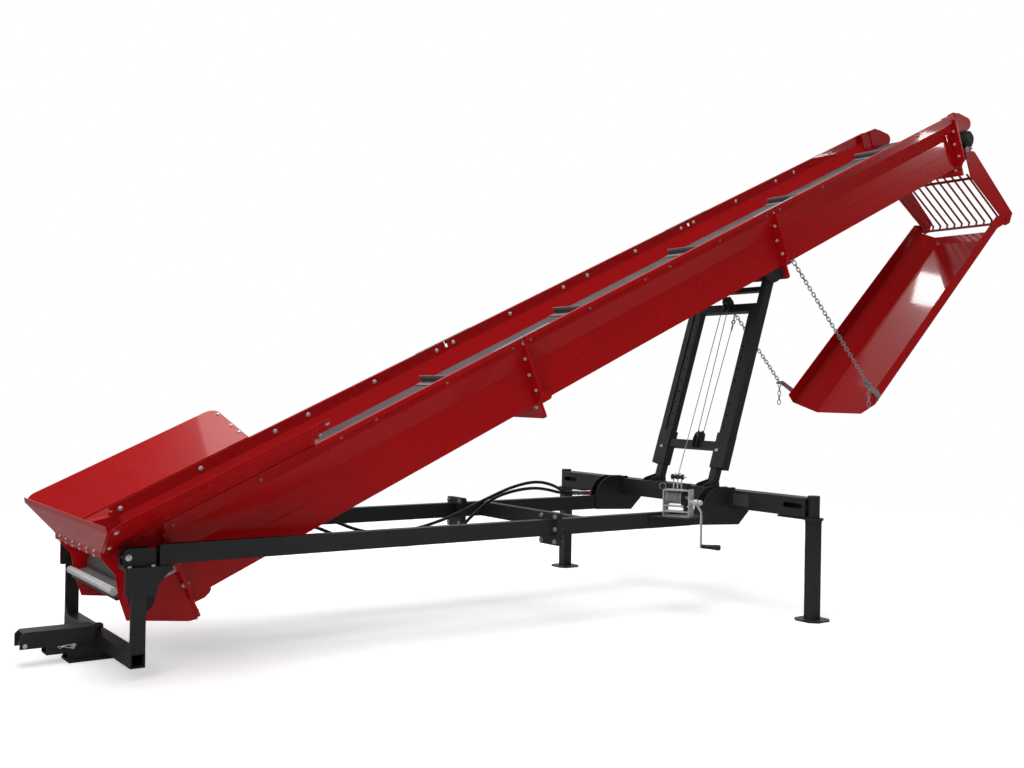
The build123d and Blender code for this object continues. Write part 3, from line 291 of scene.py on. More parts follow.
class SurfaceEffects:
    """The shader node groups that several finishes share."""

    def __init__(self) -> None:
        """Build each effect once."""
        self.mottle = self._mottle()
        self.sprayed_skin = self._sprayed_skin()
        self.worn_edge = self._worn_edge()
        self.settled_dust = self._settled_dust()
        self.fine_scuffs = self._fine_scuffs()

    def _start(self, name: str, amounts: dict[str, float], outputs: dict[str, str]) -> tuple:
        """Start a group that takes a place and some amounts.

        Args:
            name: The group's name.
            amounts: The default of each amount, by name.
            outputs: Socket type by name.

        Returns:
            What new_group returns.
        """
        inputs = {"Vector": (VECTOR, None), **{key: (FLOAT, value) for key, value in amounts.items()}}
        return new_group(name, "ShaderNodeTree", inputs, outputs)

    def _mottle(self) -> bpy.types.NodeTree:
        """Make soft cloudy variation between 0 and 1.

        Returns:
            The group.
        """
        tree, bench, given, result = self._start("cloudy variation", {"Scale": 4.0, "Detail": 4.0}, {"Value": FLOAT})
        noise = bench.noise(given["Vector"], given["Scale"], given["Detail"])
        tree.links.new(bench.remap(noise, 0.3, 0.7), result["Value"])
        return tree

    def _sprayed_skin(self) -> bpy.types.NodeTree:
        """Make the slight ripple of a sprayed and baked coat, as a height.

        Returns:
            The group.
        """
        tree, bench, given, result = self._start("sprayed skin", {"Scale": 350.0, "Grain": 0.3}, {"Height": FLOAT})
        ripple = bench.noise(given["Vector"], given["Scale"], 1.0)
        fine = bench.noise(given["Vector"], bench.math("MULTIPLY", given["Scale"], 4.0), 2.0)
        grain = bench.math("MULTIPLY", fine, given["Grain"])
        tree.links.new(bench.math("ADD", ripple, grain), result["Height"])
        return tree

    def _worn_edge(self) -> bpy.types.NodeTree:
        """Make rounded normals at folds and cut edges, and a broken mask of the edges.

        Returns:
            The group.
        """
        tree, bench, given, result = self._start(
            "worn edge", {"Radius": 0.002, "Breakup": 60.0}, {"Normal": VECTOR, "Mask": FLOAT},
        )
        bevel = bench.add("ShaderNodeBevel", {"Radius": given["Radius"]}, samples=4).outputs[0]
        flat = bench.add("ShaderNodeNewGeometry").outputs["Normal"]
        dot = bench.add("ShaderNodeVectorMath", {0: bevel, 1: flat}, operation="DOT_PRODUCT")
        edge = bench.remap(dot.outputs["Value"], 0.97, 0.80)
        breakup = bench.remap(bench.noise(given["Vector"], given["Breakup"], 3.0), 0.35, 0.6, 0.2)
        tree.links.new(bevel, result["Normal"])
        tree.links.new(bench.math("MULTIPLY", edge, breakup), result["Mask"])
        return tree

    def _settled_dust(self) -> bpy.types.NodeTree:
        """Mark where fine dust lies: on what faces up, in soft patches.

        Returns:
            The group.
        """
        tree, bench, given, result = self._start("settled dust", {"Scale": 14.0, "Amount": 0.1}, {"Mask": FLOAT})
        normal = bench.add("ShaderNodeNewGeometry").outputs["Normal"]
        upward = bench.add("ShaderNodeSeparateXYZ", {0: normal}).outputs["Z"]
        patches = bench.remap(bench.noise(given["Vector"], given["Scale"], 6.0), 0.4, 0.7, 0.2)
        lying = bench.math("MULTIPLY", bench.remap(upward, 0.2, 1.0, 0.15), patches)
        tree.links.new(bench.math("MULTIPLY", lying, given["Amount"]), result["Mask"])
        return tree

    def _fine_scuffs(self) -> bpy.types.NodeTree:
        """Mark thin scuffs that run along the machine.

        Returns:
            The group.
        """
        tree, bench, given, result = self._start("fine scuffs", {"Scale": 30.0, "Share": 0.3}, {"Mask": FLOAT})
        place = bench.stretched(given["Vector"], (0.12, 1.0, 1.6))
        lines = bench.remap(bench.noise(place, given["Scale"], 8.0, Roughness=0.7), 0.60, 0.68)
        tree.links.new(bench.math("MULTIPLY", lines, given["Share"]), result["Mask"])
        return tree


DUST_COLOUR = (0.34, 0.31, 0.27, 1.0)
SCUFF_ROUGHENING = 0.25
DUST_ROUGHENING = 0.5


@dataclass(frozen=True)
class Finish:
    """One surface: its colours, its gloss and how it is worked."""

    name: str
    slot: Slot
    colour: Colour
    second: Colour
    texture: Texture = Texture.SPRAYED
    metallic: float = 0.0
    rough_low: float = 0.3
    rough_high: float = 0.4
    specular: float = 0.5
    coat: float = 0.0
    coat_rough: float = 0.05
    cloud_scale: float = 3.0
    skin_scale: float = 350.0
    skin_depth: float = 0.00006
    edge_radius: float = 0.0015
    edge_colour: Colour = (0.3, 0.3, 0.3)
    edge_wear: float = 0.1
    dust: float = 0.05
    scuffs: float = 0.1

    def make(self, effects: SurfaceEffects) -> bpy.types.Material:
        """Build the finish as a material.

        Args:
            effects: The shared shader groups.

        Returns:
            The material.
        """
        material = bpy.data.materials.new(self.name)
        material.use_nodes = True
        material.diffuse_color = (*self.colour, 1.0)
        material.node_tree.nodes.clear()
        bench = Bench(material.node_tree)
        place = bench.add("ShaderNodeTexCoord").outputs["Object"]
        clouds = bench.group(effects.mottle, {"Vector": place, "Scale": self.cloud_scale})["Value"]
        edge = bench.group(effects.worn_edge, {"Vector": place, "Radius": self.edge_radius})
        dust = bench.group(effects.settled_dust, {"Vector": place, "Amount": self.dust})["Mask"]
        scuffs = bench.group(effects.fine_scuffs, {"Vector": place, "Share": self.scuffs})["Mask"]
        colour = bench.mixed(clouds, (*self.colour, 1.0), (*self.second, 1.0))
        worn = bench.math("MULTIPLY", edge["Mask"], self.edge_wear)
        colour = bench.mixed(worn, colour, (*self.edge_colour, 1.0))
        colour = bench.mixed(dust, colour, DUST_COLOUR)
        rough = bench.remap(clouds, 0.0, 1.0, self.rough_low, self.rough_high)
        rough = bench.math("ADD", rough, bench.math("MULTIPLY", scuffs, SCUFF_ROUGHENING))
        rough = bench.math("ADD", rough, bench.math("MULTIPLY", dust, DUST_ROUGHENING))
        bump = bench.add("ShaderNodeBump", {
            "Height": self._height(bench, effects, place), "Distance": self.skin_depth, "Strength": 1.0,
            "Normal": edge["Normal"],
        })
        shader = bench.add("ShaderNodeBsdfPrincipled", {
            "Base Color": colour, "Roughness": rough, "Normal": bump.outputs[0], "Metallic": self.metallic,
            "Specular IOR Level": self.specular, "Coat Weight": self.coat, "Coat Roughness": self.coat_rough,
        })
        bench.end("ShaderNodeOutputMaterial", shader.outputs[0])
        return material

    def _height(
        self, bench: Bench, effects: SurfaceEffects, place: bpy.types.NodeSocket,
    ) -> bpy.types.NodeSocket:
        """Make the small relief that the finish's working leaves.

        Args:
            bench: The material's bench.
            effects: The shared shader groups.
            place: The socket of the place on the piece.

        Returns:
            The height's socket.
        """
        if self.texture is Texture.WOVEN:
            inputs = {"Vector": place, "Scale": self.skin_scale}
            warp, weft = (bench.add("ShaderNodeTexWave", inputs, bands_direction=axis) for axis in ("X", "Y"))
            return bench.math("MULTIPLY", warp.outputs["Fac"], weft.outputs["Fac"])
        if self.texture is Texture.PLATED:
            return bench.noise(bench.stretched(place, (1.0, 0.2, 1.0)), self.skin_scale, 4.0)
        grain = 1.0 if self.texture is Texture.MOULDED else 0.3
        inputs = {"Vector": place, "Scale": self.skin_scale, "Grain": grain}
        return bench.group(effects.sprayed_skin, inputs)["Height"]


RED_PAINT = Finish(
    "red powder coat", Slot.RED, (0.47, 0.0035, 0.0055), (0.42, 0.003, 0.0045),
    rough_low=0.24, rough_high=0.32, specular=0.15, coat=0.35, cloud_scale=1.6, skin_scale=260, skin_depth=0.00005,
    edge_radius=0.0016, edge_colour=(0.72, 0.05, 0.05), edge_wear=0.5, dust=0.02, scuffs=0.06,
)
BLACK_PAINT = Finish(
    "black powder coat", Slot.BLACK, (0.020, 0.020, 0.021), (0.026, 0.026, 0.027),
    rough_low=0.36, rough_high=0.46, skin_scale=420, skin_depth=0.00012,
    edge_radius=0.0016, edge_colour=(0.07, 0.07, 0.072), edge_wear=0.7, scuffs=0.2,
)
RED_GRILLE = Finish(
    "red paint on bars", Slot.RED, (0.30, 0.008, 0.010), (0.24, 0.006, 0.008), coat=0.3, skin_scale=300,
    edge_radius=0.001, edge_colour=(0.5, 0.03, 0.03), edge_wear=0.3, dust=0.02,
)
ZINC = Finish(
    "zinc plate", Slot.ZINC, (0.84, 0.83, 0.85), (0.66, 0.65, 0.68), Texture.PLATED, metallic=0.4,
    rough_low=0.26, rough_high=0.42, cloud_scale=30, skin_scale=160, skin_depth=0.0001,
    edge_radius=0.0006, edge_colour=(0.8, 0.8, 0.82), edge_wear=0.4, dust=0.04, scuffs=0.3,
)
DULL_ZINC = Finish(
    "weathered zinc", Slot.ZINC, (0.50, 0.48, 0.49), (0.34, 0.33, 0.34), Texture.PLATED, metallic=0.5,
    rough_low=0.36, rough_high=0.55, cloud_scale=40, skin_scale=200, skin_depth=0.0002,
    edge_radius=0.0005, edge_colour=(0.6, 0.6, 0.62), edge_wear=0.4, dust=0.06, scuffs=0.3,
)
MACHINED = Finish(
    "machined steel", Slot.STEEL, (0.50, 0.50, 0.52), (0.40, 0.40, 0.42), Texture.PLATED, metallic=1.0,
    rough_low=0.24, rough_high=0.36, cloud_scale=25, skin_scale=300, skin_depth=0.0001,
    edge_radius=0.0005, edge_wear=0.2, edge_colour=(0.7, 0.7, 0.7), dust=0.03, scuffs=0.3,
)
DARK_CASTING = Finish(
    "black casting", Slot.BLACK, (0.016, 0.016, 0.017), (0.030, 0.030, 0.031), Texture.MOULDED,
    rough_low=0.34, rough_high=0.5, skin_scale=220, skin_depth=0.0006,
    edge_radius=0.001, edge_colour=(0.10, 0.10, 0.10), edge_wear=0.6, dust=0.06, scuffs=0.2,
)
BELT_RUBBER = Finish(
    "belt rubber", Slot.BELT, (0.062, 0.060, 0.066), (0.085, 0.082, 0.090), Texture.WOVEN,
    rough_low=0.42, rough_high=0.6, cloud_scale=6, skin_scale=70, skin_depth=0.0005,
    edge_radius=0.001, edge_colour=(0.14, 0.14, 0.14), edge_wear=0.3, dust=0.10, scuffs=0.4,
)
HOSE_RUBBER = Finish(
    "hose rubber", Slot.HOSE, (0.012, 0.012, 0.012), (0.020, 0.020, 0.020), Texture.WOVEN,
    rough_low=0.35, rough_high=0.5, cloud_scale=12, skin_scale=150, skin_depth=0.0003,
    edge_radius=0.0005, edge_colour=(0.05, 0.05, 0.05), scuffs=0.2,
)
WORN_RUBBER = Finish(
    "worn flight edges", Slot.BELT, (0.16, 0.155, 0.16), (0.24, 0.235, 0.24), Texture.WOVEN,
    rough_low=0.4, rough_high=0.55, cloud_scale=14, skin_scale=90, skin_depth=0.0004,
    edge_radius=0.001, edge_colour=(0.45, 0.44, 0.44), edge_wear=0.8, dust=0.15, scuffs=0.5,
)
BLACK_PLASTIC = Finish(
    "black plastic", Slot.HOSE, (0.018, 0.018, 0.018), (0.025, 0.025, 0.025), Texture.MOULDED,
    rough_low=0.4, rough_high=0.55, skin_scale=500, skin_depth=0.0001,
    edge_radius=0.0008, edge_colour=(0.05, 0.05, 0.05), edge_wear=0.2,
)
RED_PLASTIC = Finish(
    "red plastic", Slot.RED, (0.42, 0.02, 0.02), (0.34, 0.015, 0.015), Texture.MOULDED,
    rough_low=0.35, rough_high=0.5, skin_scale=500, skin_depth=0.0001,
    edge_radius=0.0006, edge_colour=(0.5, 0.05, 0.05), edge_wear=0.2,
)
GREY_LABEL = Finish(
    "bare grey plate", Slot.STEEL, (0.105, 0.105, 0.108), (0.14, 0.14, 0.144), Texture.PLATED, metallic=0.5,
    rough_low=0.35, rough_high=0.5, skin_scale=120, skin_depth=0.00005,
    edge_radius=0.0004, edge_colour=(0.1, 0.1, 0.1), edge_wear=0.2,
)
FINISHES = (
    RED_PAINT, BLACK_PAINT, RED_GRILLE, ZINC, DULL_ZINC, MACHINED, DARK_CASTING, BELT_RUBBER, WORN_RUBBER,
    HOSE_RUBBER, BLACK_PLASTIC, RED_PLASTIC, GREY_LABEL,
)


class Paints:
    """The finished materials, by finish."""

    def __init__(self) -> None:
        """Mix every finish once."""
        effects = SurfaceEffects()
        self.made = {finish.name: finish.make(effects) for finish in FINISHES}

    def of(self, finish: Finish) -> bpy.types.Material:
        """The material of a finish."""
        return self.made[finish.name]


class Shape:
    """A mesh under work: solids are added to it, then it becomes an object."""

    def __init__(self) -> None:
        """Start with nothing."""
        self.mesh = bmesh.new()

    def _band(self, low: list[bmesh.types.BMVert], high: list[bmesh.types.BMVert]) -> None:
        """Lay the faces between two rings of corners.

        Args:
            low: The first ring.
            high: The second ring, with as many corners.
        """
        for step, corner in enumerate(low):
            after = (step + 1) % len(low)
            self.mesh.faces.new((corner, low[after], high[after], high[step]))

    def _ring(self, corners: Iterable[Vector]) -> list[bmesh.types.BMVert]:
        """Add a ring of corners."""
        return [self.mesh.verts.new(corner) for corner in corners]

    def loft(self, rings: list[list[bmesh.types.BMVert]]) -> "Shape":
        """Join rings of corners in their order and close both ends.

        Args:
            rings: The rings, from one end to the other.

        Returns:
            The shape itself.
        """
        for low, high in zip(rings, rings[1:]):
            self._band(low, high)
        self.mesh.faces.new(list(reversed(rings[0])))
        self.mesh.faces.new(rings[-1])
        return self

    def lathe(self, place: Matrix, profile: Profile, steps: int = 32) -> "Shape":
        """Add a solid of revolution.

        Args:
            place: Where the solid stands, with its axis along Z.
            profile: Radius and height of each corner, from one end to the other.
            steps: Facets around the axis.

        Returns:
            The shape itself.
        """
        turns = [2 * math.pi * step / steps for step in range(steps)]
        return self.loft([
            self._ring(place @ Vector((radius * math.cos(turn), radius * math.sin(turn), height)) for turn in turns)
            for radius, height in profile
        ])

    def prism(self, place: Matrix, outline: list[tuple[float, float]], depth: float) -> "Shape":
        """Add a plate of any outline.

        Args:
            place: Where the plate's middle is, with the outline in its XY.
            outline: The corners.
            depth: The plate's thickness along Z.

        Returns:
            The shape itself.
        """
        return self.loft([
            self._ring(place @ Vector((x, y, height)) for x, y in outline) for height in (-depth / 2, depth / 2)
        ])

    def sheet(self, corners: list[Vector], offset: Vector) -> "Shape":
        """Add a flat plate between an outline in space and its moved copy.

        Args:
            corners: The outline.
            offset: From the outline to its copy.

        Returns:
            The shape itself.
        """
        low = self._ring(corners)
        return self.loft([self._ring(corner + offset for corner in corners), low])

    def slab(self, place: Matrix, size: tuple[float, float, float], corner: float) -> "Shape":
        """Add a block with rounded upright corners and softened rims.

        Args:
            place: Where the block's middle is.
            size: Its length, width and height.
            corner: The radius of its upright corners.

        Returns:
            The shape itself.
        """
        half_x, half_y, half_z = (value / 2 for value in size)
        outline = []
        for quarter, (x, y) in enumerate(((half_x, half_y), (-half_x, half_y), (-half_x, -half_y), (half_x, -half_y))):
            middle_x, middle_y = x - math.copysign(corner, x), y - math.copysign(corner, y)
            for step in range(4):
                turn = math.radians(90 * quarter + 30 * step)
                outline.append((middle_x + corner * math.cos(turn), middle_y + corner * math.sin(turn)))
        rim = min(corner, half_z) * 0.5
        return self.loft([
            self._ring(
                place @ Vector((x - math.copysign(inset, x), y - math.copysign(inset, y), height)) for x, y in outline
            )
            for inset, height in ((rim, -half_z), (0.0, -half_z + rim), (0.0, half_z - rim), (rim, half_z))
        ])

    def tube(self, route: list[Vector], radius: float, steps: int = 12, closed: bool = False) -> "Shape":
        """Add a round bar that follows a route.

        Args:
            route: The points that it follows.
            radius: Its radius.
            steps: Facets around it.
            closed: Whether the last point joins the first.

        Returns:
            The shape itself.
        """
        count = len(route)
        turns = [2 * math.pi * step / steps for step in range(steps)]
        normal = None
        rings = []
        for index, point in enumerate(route):
            before = route[index - 1] if index or closed else point
            after = route[(index + 1) % count] if index < count - 1 or closed else point
            tangent = (after - before).normalized()
            if normal is None:
                normal = tangent.orthogonal().normalized()
            normal = (normal - tangent * normal.dot(tangent)).normalized()
            second = tangent.cross(normal)
            rings.append(self._ring(
                point + (normal * math.cos(turn) + second * math.sin(turn)) * radius for turn in turns
            ))
        if not closed:
            return self.loft(rings)
        last, first = rings[-1], rings[0]
        shift = min(range(steps), key=lambda turn: (last[0].co - first[turn].co).length)
        for low, high in zip(rings, [*rings[1:], first[shift:] + first[:shift]]):
            self._band(low, high)
        return self

    def finish(self, name: str, material: bpy.types.Material, sharp: float = 35.0) -> bpy.types.Object:
        """Turn the shape into an object.

        Args:
            name: The object's name.
            material: Its finish.
            sharp: The angle in degrees above which an edge stays sharp.

        Returns:
            The object.
        """
        bmesh.ops.recalc_face_normals(self.mesh, faces=self.mesh.faces)
        data = bpy.data.meshes.new(name)
        self.mesh.to_mesh(data)
        self.mesh.free()
        for polygon in data.polygons:
            polygon.use_smooth = True
        data.set_sharp_from_angle(angle=math.radians(sharp))
        data.materials.append(material)
        return linked(name, data)


def arc(
    centre: Vector, first: Vector, second: Vector, radius: float, start: float, end: float, steps: int,
) -> list[Vector]:
    """Points on an arc.

    Args:
        centre: The arc's centre.
        first: The direction at 0 degrees.
        second: The direction at 90 degrees.
        radius: The arc's radius.
        start: The first point's angle in degrees.
        end: The last point's angle in degrees.
        steps: How many runs the arc has.

    Returns:
        The points.
    """
    turns = (math.radians(start + (end - start) * step / steps) for step in range(steps + 1))
    return [centre + (first * math.cos(turn) + second * math.sin(turn)) * radius for turn in turns]


def facing(point: Vector, direction: Vector, spin: float = 0.0) -> Matrix:
    """A frame at a point whose Z looks along a direction."""
    turn = direction.to_track_quat("Z", "Y").to_matrix().to_4x4()
    return Matrix.Translation(point) @ turn @ Matrix.Rotation(spin, 4, "Z")


def mounted(piece: bpy.types.Object, body: Body) -> bpy.types.Object:
    """Put a finished piece on its body and log the body that carries it.

    Args:
        piece: The piece.
        body: The body that carries it.

    Returns:
        The piece.
    """
    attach(piece, body.value)
    log.info("piece %s rides on %s", piece.name, body.value)
    return piece


def linked(name: str, data: bpy.types.ID) -> bpy.types.Object:
    """Make an object of some data and link it to the scene.

    Args:
        name: The object's name.
        data: Its data.

    Returns:
        The object.
    """
    made = bpy.data.objects.new(name, data)
    bpy.context.scene.collection.objects.link(made)
    return made


def fitted(
    shape: Shape, name: str, paints: Paints, finish: Finish, body: Body, replaced: str = "", sharp: float = 35.0,
) -> bpy.types.Object:
    """Turn a shape into a piece on its body.

    Args:
        shape: The shape.
        name: The piece's name.
        paints: The finished materials.
        finish: The piece's finish.
        body: The body that carries it.
        replaced: The frame's node that it stands for, if any.
        sharp: The angle in degrees above which an edge stays sharp.

    Returns:
        The piece.
    """
    made = mounted(shape.finish(name, paints.of(finish), sharp), body)
    if replaced:
        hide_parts(replaced)
    return made


def set_input(modifier: bpy.types.Modifier, name: str, value: object) -> None:
    """Set a Geometry Nodes modifier's input through its socket's identifier.

    Args:
        modifier: The modifier.
        name: The input's name in the tree.
        value: Its new value.
    """
    for item in modifier.node_group.interface.items_tree:
        if item.item_type == "SOCKET" and item.in_out == "INPUT" and item.name == name:
            modifier[item.identifier] = value


def grow(
    source: bpy.types.Object, tree: bpy.types.NodeTree, name: str, inputs: dict[str, object],
) -> bpy.types.Object:
    """Run a Geometry Nodes tree on an object and keep the result as a plain mesh.

    Args:
        source: The points or curve that the tree starts from. It is removed.
        tree: The Geometry Nodes tree.
        name: The new object's name.
        inputs: Values of the tree's named inputs.

    Returns:
        The new object, with no modifier.
    """
    modifier = source.modifiers.new(tree.name, "NODES")
    modifier.node_group = tree
    for key, value in inputs.items():
        set_input(modifier, key, value)
    bpy.context.view_layer.update()
    graph = bpy.context.evaluated_depsgraph_get()
    data = bpy.data.meshes.new_from_object(source.evaluated_get(graph), depsgraph=graph)
    source.modifiers.remove(modifier)
    bpy.data.objects.remove(source)
    data.name = name
    return linked(name, data)


class Trees:
    """The Geometry Nodes trees that repeat fasteners, links, rope strands and windings."""

    def __init__(self) -> None:
        """Build each tree once."""
        self.fasteners = self._fasteners()
        self.chain = self._chain()
        self.rope = self._rope()
        self.winding = self._winding()

    def _start(self, name: str, inputs: dict[str, tuple]) -> tuple:
        """Start a tree that takes geometry, some named inputs and a finish.

        Args:
            name: The tree's name.
            inputs: Socket type and default value of its own inputs, by name.

        Returns:
            What new_group returns.
        """
        sockets = {"Geometry": (GEOMETRY, None), **inputs, "Finish": ("NodeSocketMaterial", None)}
        return new_group(name, "GeometryNodeTree", sockets, {"Geometry": GEOMETRY})

    def _end(self, tree: bpy.types.NodeTree, bench: Bench, geometry: object, finish: object, result: object) -> None:
        """End a tree in Realize Instances and Set Material.

        Args:
            tree: The tree.
            bench: Its bench.
            geometry: The socket of what it made.
            finish: The socket of its finish.
            result: The sockets of its result.
        """
        real = bench.add("GeometryNodeRealizeInstances", {0: geometry})
        coated = bench.add("GeometryNodeSetMaterial", {"Geometry": real.outputs[0], "Material": finish})
        tree.links.new(coated.outputs[0], result["Geometry"])

    def _turned(self, bench: Bench, way: object, turn: object) -> bpy.types.NodeSocket:
        """Turn Z along a direction, then about itself.

        Args:
            bench: The tree's bench.
            way: The direction's socket.
            turn: The socket of the turn in radians.

        Returns:
            The rotation's socket.
        """
        aligned = bench.add("FunctionNodeAlignRotationToVector", {"Vector": way}, axis="Z")
        about = bench.add("FunctionNodeAxisAngleToRotation", {"Axis": (0.0, 0.0, 1.0), "Angle": turn})
        both = {"Rotation": aligned.outputs[0], "Rotate By": about.outputs[0]}
        return bench.add("FunctionNodeRotateRotation", both, rotation_space="LOCAL").outputs[0]

    def _random(self, bench: Bench, low: float, high: float, seed: object) -> bpy.types.NodeSocket:
        """Draw a number for every point and return its socket."""
        return bench.add("FunctionNodeRandomValue", {2: low, 3: high, "Seed": seed}, data_type="FLOAT").outputs[1]

    def _swept(self, bench: Bench, curve: object, section: object) -> bpy.types.NodeSocket:
        """Sweep a section along a curve.

        Args:
            bench: The tree's bench.
            curve: The curve's socket.
            section: The section's socket.

        Returns:
            The socket of the smooth closed mesh.
        """
        swept = bench.add("GeometryNodeCurveToMesh", {"Curve": curve, "Profile Curve": section, "Fill Caps": True})
        return bench.add("GeometryNodeSetShadeSmooth", {"Geometry": swept.outputs[0], "Shade Smooth": True}).outputs[0]

    def _spaced(self, bench: Bench, curve: object, length: object) -> bpy.types.NodeSocket:
        """Resample a curve in even steps and return its socket."""
        inputs = {"Curve": curve, "Length": length}
        return bench.add("GeometryNodeResampleCurve", inputs, mode="LENGTH").outputs[0]

    def _fasteners(self) -> bpy.types.NodeTree:
        """Place a fastener on every point, looking along the point's own direction, each turned by chance.

        Returns:
            The tree.
        """
        tree, bench, given, result = self._start("fasteners on points", {
            "Fastener": ("NodeSocketObject", None), "Size": (FLOAT, 1.0), "Seed": ("NodeSocketInt", SEED),
        })
        way = bench.add("GeometryNodeInputNamedAttribute", {"Name": "facing"}, data_type="FLOAT_VECTOR").outputs[0]
        spin = self._random(bench, 0.0, 6.283, given["Seed"])
        source = bench.add("GeometryNodeObjectInfo", {"Object": given["Fastener"]})
        size = bench.add("ShaderNodeCombineXYZ", {axis: given["Size"] for axis in range(3)})
        placed = bench.add("GeometryNodeInstanceOnPoints", {
            "Points": given["Geometry"], "Instance": source.outputs["Geometry"],
            "Rotation": self._turned(bench, way, spin), "Scale": size.outputs[0],
        })
        self._end(tree, bench, placed.outputs[0], given["Finish"], result)
        return tree

    def _chain(self) -> bpy.types.NodeTree:
        """Lay links along a curve, each a quarter turn from the one before.

        Returns:
            The tree.
        """
        tree, bench, given, result = self._start("links along a path", {
            "Link": ("NodeSocketObject", None), "Pitch": (FLOAT, 0.04), "Twist": (FLOAT, 0.6),
            "Seed": ("NodeSocketInt", SEED),
        })
        index = bench.add("GeometryNodeInputIndex").outputs[0]
        quarter = bench.math("MULTIPLY", bench.math("MODULO", index, 2.0), math.pi / 2)
        loose = bench.math("ADD", quarter, self._random(bench, -0.14, 0.14, given["Seed"]))
        turn = bench.math("ADD", loose, given["Twist"])
        tangent = bench.add("GeometryNodeInputTangent").outputs[0]
        source = bench.add("GeometryNodeObjectInfo", {"Object": given["Link"]})
        placed = bench.add("GeometryNodeInstanceOnPoints", {
            "Points": self._spaced(bench, given["Geometry"], given["Pitch"]), "Instance": source.outputs["Geometry"],
            "Rotation": self._turned(bench, tangent, turn),
        })
        self._end(tree, bench, placed.outputs[0], given["Finish"], result)
        return tree

    def _rope(self) -> bpy.types.NodeTree:
        """Sweep a lobed section along a curve and twist it as it goes.

        Returns:
            The tree.
        """
        tree, bench, given, result = self._start(
            "laid rope", {"Radius": (FLOAT, 0.0025), "Lay": (FLOAT, 0.03), "Step": (FLOAT, 0.003)},
        )
        spaced = self._spaced(bench, given["Geometry"], given["Step"])
        travelled = bench.add("GeometryNodeSplineParameter").outputs["Length"]
        turns = bench.math("DIVIDE", travelled, given["Lay"])
        tilt = bench.math("MULTIPLY", turns, 2 * math.pi)
        tilted = bench.add("GeometryNodeSetCurveTilt", {"Curve": spaced, "Tilt": tilt})
        inner = bench.math("MULTIPLY", given["Radius"], 0.72)
        section = bench.add(
            "GeometryNodeCurveStar", {"Points": 6, "Inner Radius": inner, "Outer Radius": given["Radius"]},
        )
        swept = self._swept(bench, tilted.outputs[0], section.outputs[0])
        self._end(tree, bench, swept, given["Finish"], result)
        return tree

    def _winding(self) -> bpy.types.NodeTree:
        """Wind wire around a drum along Z, starting from a single point.

        Returns:
            The tree.
        """
        tree, bench, given, result = self._start("wire on a drum", {
            "Radius": (FLOAT, 0.03), "Turns": (FLOAT, 12.0), "Width": (FLOAT, 0.07), "Wire": (FLOAT, 0.0025),
        })
        coil = bench.add("GeometryNodeCurveSpiral", {
            "Resolution": 24, "Rotations": given["Turns"], "Start Radius": given["Radius"],
            "End Radius": given["Radius"], "Height": given["Width"],
        })
        section = bench.add("GeometryNodeCurvePrimitiveCircle", {"Resolution": 8, "Radius": given["Wire"]})
        swept = self._swept(bench, coil.outputs[0], section.outputs[0])
        placed = bench.add("GeometryNodeInstanceOnPoints", {"Points": given["Geometry"], "Instance": swept})
        self._end(tree, bench, placed.outputs[0], given["Finish"], result)
        return tree


def curve_through(name: str, route: list[Vector]) -> bpy.types.Object:
    """Make a curve object of one line through points.

    Args:
        name: The object's name.
        route: The points.

    Returns:
        The object.
    """
    data = bpy.data.curves.new(name, "CURVE")
    data.dimensions = "3D"
    spline = data.splines.new("POLY")
    spline.points.add(len(route) - 1)
    for point, place in zip(spline.points, route):
        point.co = (*place, 1.0)
    return linked(name, data)


